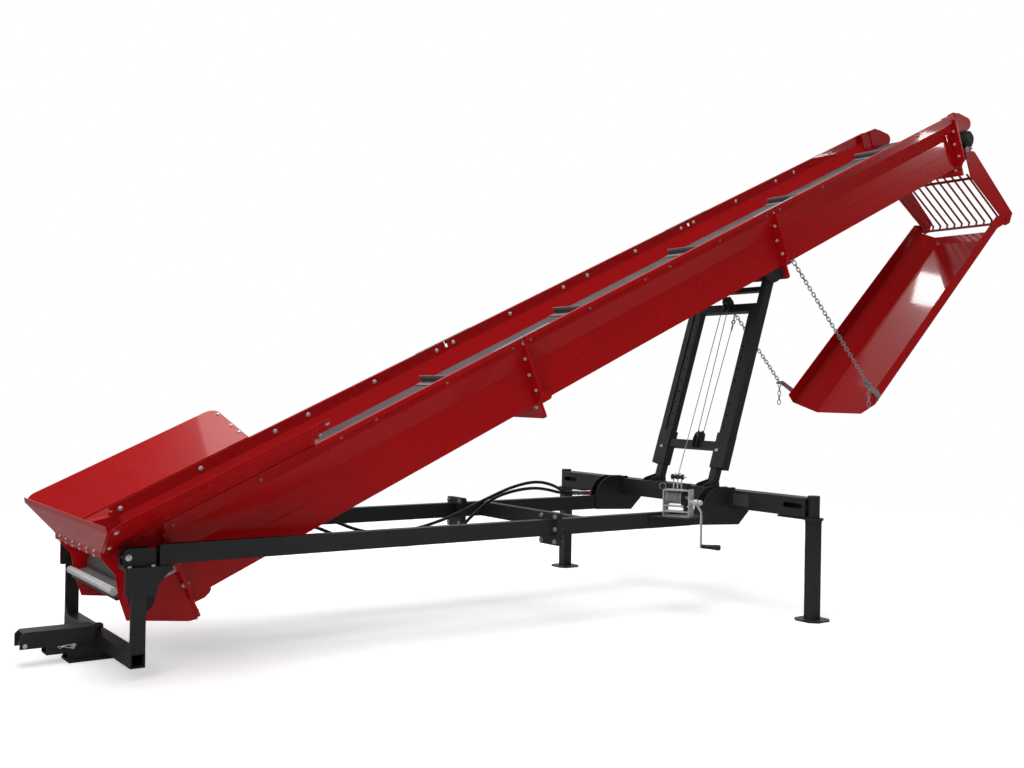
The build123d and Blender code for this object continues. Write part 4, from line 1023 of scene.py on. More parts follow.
@dataclass
class FastenerBox:
    """The heads that hold the machine together, and how they are set out."""

    paints: Paints
    trees: Trees
    hex_across: float = 0.019
    hex_height: float = 0.008
    washer_radius: float = 0.012
    washer_height: float = 0.0022
    dome_radius: float = 0.0105
    dome_height: float = 0.0065
    heads: dict[Head, bpy.types.Object] = field(default_factory=dict)

    def prepare(self) -> None:
        """Make one head of each kind, standing on the origin."""
        corner = self.hex_across / 2 / math.cos(math.radians(30))
        base = Matrix.Identity(4)
        rim, seat = self.washer_radius, self.washer_height
        top = seat + self.hex_height
        washer = [(0.0005, 0.0), (rim, 0.0), (rim, seat * 0.7), (rim * 0.96, seat), (0.0005, seat)]
        dome = [
            (self.dome_radius, seat * 0.6), (self.dome_radius * 0.96, self.dome_height * 0.55),
            (self.dome_radius * 0.75, self.dome_height * 0.85), (self.dome_radius * 0.4, self.dome_height),
            (0.0008, self.dome_height * 1.03),
        ]
        hexagon = [(corner, seat * 0.9), (corner, top - 0.0014), (corner * 0.9, top), (0.004, top)]
        thread_end = [(0.0058, seat), (0.0058, top + 0.0042), (0.0050, top + 0.005), (0.0006, top + 0.005)]
        recess = [(0.0062, top - 0.001), (0.0060, top - 0.0004), (0.0006, top - 0.0004)]
        for head in Head:
            shape = Shape().lathe(base, washer, 18)
            if head is Head.DOME:
                shape.lathe(base, dome, 18)
            else:
                shape.lathe(base, hexagon, 6).lathe(base, thread_end if head is Head.NUT else recess, 16)
            self.heads[head] = shape.finish(f"head_{head.value}", self.paints.of(ZINC), 30)

    def set_out(
        self, name: str, head: Head, spots: list[tuple[Vector, Vector]], body: Body, finish: Finish = ZINC,
        size: float = 1.0,
    ) -> bpy.types.Object:
        """Fit fasteners at their spots.

        Args:
            name: The piece's name.
            head: Which head they have.
            spots: Each one's seat and the way it looks.
            body: The body that carries them.
            finish: Their finish.
            size: Their size against an M12.

        Returns:
            The fitted piece.
        """
        data = bpy.data.meshes.new(name + "_spots")
        data.from_pydata([spot for spot, _ in spots], [], [])
        attribute = data.attributes.new("facing", "FLOAT_VECTOR", "POINT")
        for index, (_, way) in enumerate(spots):
            attribute.data[index].vector = way
        inputs = {"Fastener": self.heads[head], "Size": size, "Finish": self.paints.of(finish)}
        made = grow(linked(name + "_spots", data), self.trees.fasteners, name, inputs)
        return mounted(made, body)

    def put_away(self) -> None:
        """Remove the pattern heads once every fastener is fitted."""
        for head in self.heads.values():
            bpy.data.objects.remove(head)


@dataclass(frozen=True)
class Softbox:
    """A rectangular lamp: its place, what it looks at, its size, power and whether gloss mirrors it."""

    name: str
    place: tuple[float, float, float]
    target: tuple[float, float, float]
    size: tuple[float, float]
    power: float
    mirrored: bool = True

    def hang(self) -> None:
        """Hang the lamp."""
        data = bpy.data.lights.new(self.name, "AREA")
        data.shape = "RECTANGLE"
        data.size, data.size_y = self.size
        data.energy = self.power
        lamp = linked(self.name, data)
        lamp.matrix_world = facing(Vector(self.place), Vector(self.place) - Vector(self.target))
        lamp.visible_glossy = self.mirrored


@dataclass
class Studio:
    """The camera at the photograph's viewing angle, a pale floor and soft lamps."""

    eye: tuple[float, float, float] = (-4.47964, -5.15767, 1.19731)
    forward: tuple[float, float, float] = (0.576969, 0.816759, 0.003382)
    right: tuple[float, float, float] = (0.816606, -0.576933, 0.017389)
    lens: float = 40.968
    sensor: float = 36.0
    reach: float = 200.0
    floor_half: float = 60.0
    floor_drop: float = 0.0005
    floor_glow: float = 0.50
    floor_tones: tuple[float, float] = (0.93, 0.95)
    floor_mirrored: float = 0.28
    floor_fade: tuple[float, float] = (3.6, 7.0)
    room_fill: float = 0.22
    room_mirrored: float = 0.08
    back_mirrored: float = 0.55
    lamps: tuple[Softbox, ...] = (
        Softbox("overhead softbox", (-1.5, 0.5, 8.0), (0.0, 0.0, 1.0), (9.0, 5.0), 560.0),
        Softbox("front softbox", (-8.0, -5.0, 5.0), (0.0, 0.0, 1.2), (4.0, 3.0), 140.0, False),
        Softbox("right softbox", (7.5, -4.0, 4.5), (1.5, 0.0, 1.5), (3.0, 3.0), 45.0, False),
        Softbox("chute softbox", (3.44, 2.80, 6.0), (2.80, -0.03, 1.95), (0.36, 0.36), 11.0),
        Softbox("head softbox", (5.59, -2.61, 3.74), (2.38, -0.37, 2.93), (0.34, 0.14), 5.0),
        Softbox("rear softbox", (3.00, 3.05, 6.15), (2.45, 0.0, 1.70), (1.5, 1.1), 4.0),
    )

    def build(self) -> None:
        """Set up the whole studio."""
        self.place_camera()
        self.lay_floor()
        for lamp in self.lamps:
            lamp.hang()
        self.light_world()
        bpy.context.scene.view_settings.view_transform = "Standard"

    def place_camera(self) -> None:
        """Stand the camera where the photograph was taken."""
        data = bpy.data.cameras.new("camera")
        data.lens = self.lens
        data.sensor_width = self.sensor
        data.clip_end = self.reach
        camera = linked("camera", data)
        ahead = Vector(self.forward).normalized()
        right = Vector(self.right)
        right = (right - ahead * right.dot(ahead)).normalized()
        up = right.cross(ahead)
        turn = Matrix([list(right), list(up), list(-ahead)]).transposed().to_4x4()
        camera.matrix_world = Matrix.Translation(self.eye) @ turn
        bpy.context.scene.camera = camera

    def lay_floor(self) -> None:
        """Lay a wide pale floor that shows as white, takes soft shadows and is dim where gloss mirrors it."""
        data = bpy.data.meshes.new("floor")
        half = self.floor_half
        corners = [(x * half, y * half, -self.floor_drop) for x, y in ((-1, -1), (1, -1), (1, 1), (-1, 1))]
        data.from_pydata(corners, [], [(0, 1, 2, 3)])
        material = bpy.data.materials.new("pale floor")
        material.use_nodes = True
        material.node_tree.nodes.clear()
        bench = Bench(material.node_tree)
        place = bench.add("ShaderNodeTexCoord").outputs["Object"]
        first, second = ((tone, tone, tone, 1.0) for tone in self.floor_tones)
        tone = bench.mixed(bench.noise(place, 2.0, 3.0), first, second)
        matt = bench.add("ShaderNodeBsdfDiffuse", {"Color": tone}).outputs[0]
        glow = bench.add("ShaderNodeEmission", {"Color": WHITE, "Strength": self.floor_glow}).outputs[0]
        seen = bench.add("ShaderNodeLightPath").outputs
        lit = bench.add("ShaderNodeAddShader", {0: matt, 1: glow}).outputs[0]
        white = bench.add("ShaderNodeEmission", {"Color": WHITE, "Strength": 1.0}).outputs[0]
        distance = bench.add("ShaderNodeVectorMath", {0: place}, operation="LENGTH").outputs["Value"]
        faded = bench.chosen(bench.remap(distance, *self.floor_fade), lit, white)
        dim = bench.add("ShaderNodeBsdfDiffuse", {"Color": (*[self.floor_mirrored] * 3, 1.0)}).outputs[0]
        mirrored = bench.chosen(seen["Is Glossy Ray"], matt, dim)
        bench.end("ShaderNodeOutputMaterial", bench.chosen(seen["Is Camera Ray"], mirrored, faded))
        data.materials.append(material)
        linked("floor", data)

    def light_world(self) -> None:
        """Fill the room with even light, show it as white, and mirror it dim but for a low band behind."""
        world = bpy.data.worlds.new("white studio")
        world.use_nodes = True
        world.node_tree.nodes.clear()
        bench = Bench(world.node_tree)
        seen = bench.add("ShaderNodeLightPath").outputs
        shown = bench.math("MAXIMUM", seen["Is Camera Ray"], seen["Is Transmission Ray"])
        fill = bench.add("ShaderNodeBackground", {"Color": WHITE, "Strength": self.room_fill}).outputs[0]
        ahead = bench.add("ShaderNodeSeparateXYZ", {0: bench.add("ShaderNodeTexCoord").outputs["Generated"]}).outputs
        behind = bench.remap(ahead["Y"], -0.1, 0.5, 0.0, self.back_mirrored)
        low = bench.remap(ahead["Z"], 0.30, 0.60, 1.0, 0.0)
        band = bench.math("ADD", bench.math("MULTIPLY", behind, low), self.room_mirrored)
        glossy = bench.add("ShaderNodeBackground", {"Color": WHITE, "Strength": band}).outputs[0]
        white = bench.add("ShaderNodeBackground", {"Color": WHITE, "Strength": 1.0}).outputs[0]
        room = bench.chosen(seen["Is Glossy Ray"], fill, glossy)
        bench.end("ShaderNodeOutputWorld", bench.chosen(shown, room, white))
        bpy.context.scene.world = world


@dataclass
class HydraulicLines:
    """Two hoses that lie along the frame, with their couplings and caps."""

    paints: Paints
    diameter: float = 0.018
    coupling_length: float = 0.150
    upper: Route = (
        (1.205, 0.408, 0.524), (1.335, 0.399, 0.480), (1.480, 0.389, 0.420), (1.630, 0.379, 0.396),
        (1.775, 0.371, 0.408), (1.905, 0.362, 0.434), (2.040, 0.354, 0.473), (2.170, 0.348, 0.525),
        (2.300, 0.347, 0.574), (2.460, 0.356, 0.626), (2.640, 0.380, 0.650), (2.790, 0.409, 0.622),
        (2.900, 0.436, 0.5695), (2.990, 0.448, 0.5635),
    )
    lower: Route = (
        (1.125, 0.404, 0.486), (1.230, 0.385, 0.455), (1.340, 0.376, 0.405), (1.480, 0.364, 0.358),
        (1.640, 0.350, 0.335), (1.800, 0.338, 0.334), (1.950, 0.326, 0.356), (2.080, 0.317, 0.412),
        (2.180, 0.312, 0.500), (2.285, 0.313, 0.566), (2.420, 0.324, 0.601), (2.590, 0.350, 0.615),
        (2.745, 0.404, 0.596), (2.895, 0.468, 0.562), (2.990, 0.475, 0.558),
    )

    def build(self) -> None:
        for name, route in (("upper", self.upper), ("lower", self.lower)):
            self.coupling(name, route)
            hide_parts("hose_couplings")
            hose = self.hose(name, route)
            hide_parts(f"hose_{name}")

    def point(self, place: tuple[float, float, float]) -> tuple[float, float, float]:
        """A route's point in the machine's own frame."""
        return (place[0] + FRONT_X, place[1], place[2])

    def hose(self, name: str, route: Route) -> bpy.types.Object:
        """Draw one hose as a smooth round curve.

        Args:
            name: Which hose it is.
            route: The points that it follows.

        Returns:
            The hose.
        """
        data = bpy.data.curves.new(f"hose_line_{name}", "CURVE")
        data.dimensions = "3D"
        data.bevel_depth = self.diameter / 2
        data.bevel_resolution = 5
        data.use_fill_caps = True
        spline = data.splines.new("NURBS")
        spline.points.add(len(route) - 1)
        for knot, place in zip(spline.points, route):
            knot.co = (*self.point(place), 1.0)
        spline.order_u = 3
        spline.use_endpoint_u = True
        spline.resolution_u = 12
        data.materials.append(self.paints.of(HOSE_RUBBER))
        return mounted(linked(f"hose_line_{name}", data), Body.FRAME)

    def length(self, hose: bpy.types.Object) -> float:
        """The hose's own length along its line."""
        return hose.data.splines[0].calc_length()

    def coupling(self, name: str, route: Route) -> bpy.types.Object:
        """Fit the pressed sleeve, hexes and probe at a hose's end, with its cap.

        Args:
            name: Which hose it is.
            route: The points that the hose follows.

        Returns:
            The coupling, without its cap.
        """
        end = Vector(self.point(route[-1]))
        place = facing(end, (end - Vector(self.point(route[-2]))).normalized())
        sleeve = [(0.0094, -0.028), (0.0118, -0.024), (0.0118, 0.006), (0.0112, 0.010), (0.0100, 0.012)]
        probe = [
            (0.0098, 0.030), (0.0098, 0.046), (0.0122, 0.048), (0.0125, 0.066), (0.0110, 0.069), (0.0085, 0.071),
            (0.0082, 0.092),
        ]
        shape = Shape().lathe(place, sleeve, 24)
        shape.lathe(place, [(0.0127, 0.010), (0.0130, 0.013), (0.0130, 0.030), (0.0120, 0.033)], 6)
        shape.lathe(place, probe, 24)
        made = fitted(shape, f"coupling_{name}", self.paints, MACHINED, Body.FRAME)
        ribs = [(0.0126 if step % 2 else 0.0118, 0.088 + 0.006 * step) for step in range(9)]
        end_rim = [(0.0105, self.coupling_length - 0.008), (0.004, self.coupling_length - 0.004)]
        cap = Shape().lathe(place, [(0.0105, 0.086), *ribs, *end_rim], 24)
        fitted(cap, f"coupling_cap_{name}", self.paints, RED_PLASTIC, Body.FRAME, "hose_couplings", 60)
        return made


@dataclass
class DressedSteel:
    """The parts of the machine that keep their own shape and get a finish."""

    paints: Paints
    by_slot: dict[str, Finish] = field(default_factory=lambda: {
        "red_paint": RED_PAINT, "black_paint": BLACK_PAINT, "zinc": ZINC, "steel": MACHINED, "belt_rubber": BELT_RUBBER,
        "hose_rubber": HOSE_RUBBER,
    })
    own: dict[str, Finish] = field(default_factory=lambda: {
        "chute_grille": RED_GRILLE, "drive_motor": DARK_CASTING, "splice_strips": DULL_ZINC,
        "hose_clamp": BLACK_PLASTIC, "head_drum": DARK_CASTING, "tail_drum": DARK_CASTING,
    })

    def dress(self, frame: dict) -> None:
        """Give every node of the frame its finish.
        """
        slots = {part["node"]: part["material_slot"] for part in frame["record"]["subparts"]}
        for name, node in frame["nodes"].items():
            finish = self.own.get(name, self.by_slot[slots[name]])
            node.data.materials.clear()
            node.data.materials.append(self.paints.of(finish))
        log.info("dressed %d parts", len(frame["nodes"]))


@dataclass
class HopperAndHead:
    """The hopper's wings with their folded feet, and the trim of the tail and the head."""

    paints: Paints
    wing_front: float = -0.072
    wing_lean: float = -0.006
    wing_back: float = 0.945
    wing_foot: float = 0.380
    wing_run: float = 0.3444
    wing_rise: tuple[float, float] = (0.9001, 0.4356)
    wing_corner: float = 0.055
    sheet: float = 0.004
    side_plate: float = 0.3365
    fold: float = 0.003
    tube_x: float = -0.020
    # Profile of the dark disc behind each round hole at the tail: painted shade for the dark inside.
    painted_shade_disc: Profile = field(default_factory=lambda: [
        (0.0545, 0.0), (0.0555, 0.0006), (0.0555, 0.0026), (0.048, 0.0032), (0.014, 0.0034),
    ])
    tab: Profile = field(default_factory=lambda: [
        (0.186, -0.345), (0.282, -0.345), (0.286, -0.378), (0.271, -0.390), (0.243, -0.3985), (0.186, -0.394),
    ])
    cheek: Profile = field(default_factory=lambda: [
        (6.080, -0.002), (6.246, -0.007), (6.290, -0.022), (6.380, -0.082), (6.394, -0.100), (6.396, -0.124),
        (6.380, -0.146), (6.345, -0.160), (6.080, -0.165),
    ])

    def build(self) -> None:
        """Fit the wings, the tail's tube and the head's trim."""
        for side in SIDES:
            self.wing(side)
        self.wing_feet()
        self.tail_tube()
        self.belly_tabs()
        self.head_trim()

    def wing(self, side: int) -> None:
        """Fold up one flared wing with rounded upper corners.

        Args:
            side: -1 for the near wing and 1 for the far one.
        """
        up = across(side) * self.wing_rise[0] + DECK.square * self.wing_rise[1]
        inward = DECK.square * self.wing_rise[0] - across(side) * self.wing_rise[1]
        foot = DECK.at(0.0, 0.0, side * self.wing_foot)
        radius = self.wing_corner
        back = foot + DECK.along * (self.wing_back - radius) + up * (self.wing_run - radius)
        front = foot + DECK.along * (self.wing_front + self.wing_lean + radius) + up * (self.wing_run - radius)
        corners = [foot + DECK.along * self.wing_front, foot + DECK.along * self.wing_back]
        corners += arc(back, DECK.along, up, radius, 0, 90, 8) + arc(front, DECK.along, up, radius, 90, 180, 8)
        name = side_name(side)
        wing = Shape().sheet(corners, inward * self.sheet)
        fitted(wing, f"wing_sheet_{name}", self.paints, RED_PAINT, Body.CONVEYOR, f"hopper_wing_{name}")

    def split_sheet(self, shape: Shape, quad: list[Vector], offset: Vector) -> None:
        """Add a four-cornered sheet as two flat ones, folded along its diagonal.

        Args:
            shape: The shape that takes it.
            quad: Its corners.
            offset: Its thickness, as a way from one face to the other.
        """
        shape.sheet(quad[:3], offset)
        shape.sheet([quad[0], quad[2], quad[3]], offset)

    def wing_feet(self) -> None:
        """The folded strips that join the wings' feet to the tail's side plates."""
        shape = Shape()
        front, middle = Vector((FRONT_X - 0.079, 0.0, 0.5055)), Vector((FRONT_X + 0.060, 0.0, 0.5455))
        lower = [front, middle, DECK.at(0.176, -0.0385, 0.0)]
        upper = [DECK.at(place, 0.0, 0.0) for place in (self.wing_front, 0.0716, 0.192)]
        for side in SIDES:
            out, plate = across(side) * self.wing_foot, across(side) * self.side_plate
            for step in range(2):
                quad = [upper[step] + out, upper[step + 1] + out, lower[step + 1] + plate, lower[step] + plate]
                self.split_sheet(shape, quad, DECK.square * -self.fold)
            stop = [
                DECK.at(0.190, square, side * y)
                for square, y in ((0.001, 0.381), (-0.002, 0.3335), (-0.120, 0.3335), (-0.060, 0.376))
            ]
            shape.sheet(stop, DECK.along * self.fold)
            closing = [
                DECK.at(along, square, side * 0.3368)
                for along, square in ((0.165, -0.020), (0.202, -0.020), (0.202, -0.110), (0.165, -0.110))
            ]
            shape.sheet(closing, across(side) * self.fold)
        fitted(shape, "wing_feet", self.paints, RED_PAINT, Body.CONVEYOR, sharp=50)

    def tail_tube(self) -> None:
        """The bright tube across the tail, a darker rod below it, and dark discs behind the round holes as painted
        shade inside them.
        """
        place = facing(Vector((FRONT_X + self.tube_x, -0.3360, 0.336)), Vector((0, 1, 0)))
        tube = Shape().lathe(place, [(0.0160, 0.0), (0.0168, 0.002), (0.0168, 0.670), (0.0160, 0.672)], 32)
        fitted(tube, "tail_tube", self.paints, ZINC, Body.CONVEYOR)
        place = facing(Vector((FRONT_X - 0.006, -0.3325, 0.306)), Vector((0, 1, 0)))
        dark = Shape().lathe(place, [(0.008, 0.0), (0.009, 0.001), (0.009, 0.664), (0.008, 0.665)], 20)
        # The dark discs behind the side plates' round holes are painted shade that stands in for the dark inside of the
        # tail.
        for side in SIDES:
            dark.lathe(facing(Vector((FRONT_X + 0.092, side * 0.3367, 0.295)), across(side)), self.painted_shade_disc, 40)
        fitted(dark, "tail_rod_and_covers", self.paints, DARK_CASTING, Body.CONVEYOR)

    def belly_tabs(self) -> None:
        """The small tabs that hang below the first trough section, behind its flange."""
        shape = Shape()
        for side in SIDES:
            shape.sheet([DECK.at(along, square, side * 0.300) for along, square in self.tab], across(-side) * 0.004)
        fitted(shape, "belly_tabs", self.paints, RED_PAINT, Body.CONVEYOR)

    def head_trim(self) -> None:
        """The cross plate under the head flange and the sheets that close the rims at the head."""
        shape = Shape()
        shape.slab(DECK.frame(6.162, -0.400, 0.0), (0.016, 0.684, 0.060), 0.004)
        for side in SIDES:
            cheek = [DECK.at(along, square, side * self.side_plate) for along, square in self.cheek]
            shape.sheet(cheek, across(-side) * 0.005)
            closing = [
                DECK.at(6.150, -0.0015, side * 0.3640), DECK.at(6.240, -0.0015, side * 0.3350),
                DECK.at(6.240, -0.0620, side * 0.3350), DECK.at(6.150, -0.0570, side * 0.3640),
            ]
            self.split_sheet(shape, closing, across(-side) * self.fold)
        fitted(shape, "head_trim", self.paints, RED_PAINT, Body.CONVEYOR, sharp=50)


@dataclass
class ConveyorDetails:
    """Fasteners, panel creases, flight lips, tensioners and motor of the conveyor."""

    paints: Paints
    fasteners: FastenerBox
    section_start: tuple[float, ...] = (0.180, 2.197, 4.215)
    rim_steps: tuple[float, ...] = (0.050, 0.475, 0.900, 1.100, 1.522, 1.948)
    rim_outer: float = 0.366
    rim_inner: float = 0.363
    rim_n: float = -0.030
    flange_face: float = 0.008
    flights: int = 6
    flight_start: float = 0.939
    flight_pitch: float = 0.99078
    belt_depth: float = 0.134
    lip_bolts: tuple[float, ...] = (-0.270, -0.162, -0.054, 0.054, 0.162, 0.270)
    wing_bolts: Profile = field(default_factory=lambda: [
        (-0.041, 0.249), (-0.052, 0.053), (0.930, 0.281), (0.930, 0.146), (0.930, 0.069),
    ])
    thread_steps: int = 44
    motor_body: Profile = field(default_factory=lambda: [
        (0.040, 0.000), (0.062, 0.000), (0.062, 0.010), (0.058, 0.013), (0.046, 0.014), (0.044, 0.022), (0.050, 0.024),
        (0.052, 0.034), (0.048, 0.037), (0.048, 0.042), (0.053, 0.044), (0.053, 0.054), (0.047, 0.058), (0.040, 0.060),
        (0.036, 0.066), (0.020, 0.068),
    ])
    motor_lug: Profile = field(default_factory=lambda: [
        (0.009, 0.0), (0.0095, 0.001), (0.0095, 0.018), (0.006, 0.0185), (0.006, 0.030), (0.004, 0.031),
    ])
    fitting: Profile = field(default_factory=lambda: [
        (0.012, 0.0), (0.012, 0.016), (0.008, 0.018), (0.008, 0.026), (0.0105, 0.027), (0.0105, 0.036), (0.006, 0.037),
    ])

    def build(self) -> None:
        """Fit everything on the conveyor."""
        self.rim_bolts()
        self.flange_bolts()
        self.hopper_bolts()
        self.creases()
        self.flight_edges()
        self.tensioners()
        self.motor()

    def rim_bolts(self) -> None:
        """Domed bolts along both rims, with their nuts outside."""
        places = [start + step for start in self.section_start for step in self.rim_steps]
        inside, outside = [], []
        for side in SIDES:
            for place in places:
                inside.append((DECK.at(place, self.rim_n, side * self.rim_inner), across(-side)))
                outside.append((DECK.at(place, self.rim_n, side * self.rim_outer), across(side)))
        self.fasteners.set_out("rim_bolt_heads", Head.DOME, inside, Body.CONVEYOR, ZINC, 1.0)
        self.fasteners.set_out("rim_bolt_nuts", Head.NUT, outside, Body.CONVEYOR, DULL_ZINC, 0.62)

    def flange_bolts(self) -> None:
        """Bolts through every flange, seen from both faces."""
        spots, nuts = [], []
        for index, place in enumerate((0.180, 2.197, 4.215, 6.162)):
            legs = [(0.352, -0.113), (0.338, -0.203), (0.350, -0.289), (0.300, -0.385)]
            legs += [(0.100, -0.410)] if index in (1, 2) else []
            legs += [(0.300, -0.432)] if index == 0 else []
            for side in SIDES:
                for y, n in legs:
                    spots.append((DECK.at(place - self.flange_face, n, side * y), -DECK.along))
                    nuts.append((DECK.at(place + self.flange_face, n, side * y), DECK.along))
        self.fasteners.set_out("flange_bolt_heads", Head.HEX, spots, Body.CONVEYOR, ZINC, 0.8)
        self.fasteners.set_out("flange_bolt_nuts", Head.NUT, nuts, Body.CONVEYOR, ZINC, 0.8)

    def hopper_bolts(self) -> None:
        """Bolts of the hopper's front plate and wings."""
        upper, lower, wings = [], [], []
        for y in self.lip_bolts:
            upper.append((Vector((FRONT_X - 0.0835, y, 0.5015)), Vector((-0.80, 0, 0.60))))
            lower.append((Vector((FRONT_X - 0.0835, y, 0.4830)), Vector((-0.80, 0, -0.60))))
        self.fasteners.set_out("hopper_front_bolts", Head.DOME, upper, Body.CONVEYOR, ZINC, 0.72)
        self.fasteners.set_out("hopper_front_nuts", Head.HEX, lower, Body.CONVEYOR, ZINC, 0.55)
        for side in SIDES:
            outward = DECK.square * -0.9 + across(side) * 0.4356
            for along, run in self.wing_bolts:
                # The far wing has no bolts at its front edge.
                if side > 0 > along:
                    continue
                place = DECK.at(along, run * 0.4356, side * (0.380 + run * 0.9))
                wings.append((place + outward * 0.0005, outward))
                wings.append((place - outward * 0.0045, -outward))
        self.fasteners.set_out("hopper_wing_bolts", Head.DOME, wings, Body.CONVEYOR, ZINC, 0.85)

    def creases(self) -> None:
        """The pressed line along the middle of each side panel."""
        shape = Shape()
        for low, high in ((0.220, 2.160), (2.240, 4.175), (4.260, 6.120)):
            for side in SIDES:
                y = side * 0.3181
                shape.tube([DECK.at(low, -0.243, y), DECK.at(high, -0.243, y)], 0.0011, 6)
        fitted(shape, "panel_creases", self.paints, RED_PAINT, Body.CONVEYOR, sharp=60)

    def flight_edges(self) -> None:
        """The worn lips of the belt's flights on its upper run."""
        shape = Shape()
        for index in range(self.flights):
            place = self.flight_start + index * self.flight_pitch
            foot = DECK.frame(place, -self.belt_depth, 0.0)
            shape.slab(foot @ Matrix.Translation((0.0, 0.0, 0.033)), (0.0064, 0.581, 0.014), 0.002)
            shape.slab(foot @ Matrix.Translation((-0.0235, 0.0, 0.0040)), (0.044, 0.581, 0.0016), 0.0007)
        fitted(shape, "flight_lips", self.paints, WORN_RUBBER, Body.CONVEYOR)

    def tensioners(self) -> None:
        """The threaded rods that stretch the belt at its tail."""
        shape = Shape()
        for side in SIDES:
            low, high = (DECK.at(along, -0.213, side * 0.345) for along in (0.062, 0.1715))
            length = (high - low).length
            thread = [
                (0.0072 if step % 2 else 0.0063, length * step / self.thread_steps)
                for step in range(self.thread_steps + 1)
            ]
            place = facing(low, (high - low).normalized())
            shape.lathe(place, [(0.001, 0.0), *thread, (0.001, length)], 16)
        fitted(shape, "belt_tensioners", self.paints, ZINC, Body.CONVEYOR, sharp=80)

    def motor(self) -> None:
        """The hydraulic motor at the head, with its ports, lugs and fittings."""
        place = facing(DECK.at(6.262, -0.205, -0.330), across(-1))
        shape = Shape().lathe(place, self.motor_body, 40)
        for turn in (45, 135, 225, 315):
            shape.lathe(self.about(place, turn, 0.050, 0.012), [(0.0075, 0.0), (0.0075, 0.007), (0.0066, 0.008)], 6)
        for offset in (-0.022, 0.022):
            port = place @ Matrix.Translation((offset, 0.030, 0.034)) @ Matrix.Rotation(math.radians(-90), 4, "X")
            shape.lathe(port, [(0.013, 0.0), (0.013, 0.018), (0.011, 0.020), (0.011, 0.024)], 6)
        for turn in range(15, 375, 60):
            shape.lathe(self.about(place, turn, 0.052, 0.022), self.motor_lug, 12)
        fittings = Shape()
        for along in (6.238, 6.282):
            fittings.lathe(facing(DECK.at(along, -0.250, -0.366), -DECK.square), self.fitting, 6)
        fitted(fittings, "motor_fittings", self.paints, ZINC, Body.CONVEYOR, sharp=30)
        fitted(shape, "motor_body", self.paints, DARK_CASTING, Body.CONVEYOR, "drive_motor", 30)

    def about(self, place: Matrix, turn: float, radius: float, height: float) -> Matrix:
        """A frame beside a turned solid: at an angle in degrees, a radius and a height."""
        turn = math.radians(turn)
        return place @ Matrix.Translation((radius * math.cos(turn), radius * math.sin(turn), height))


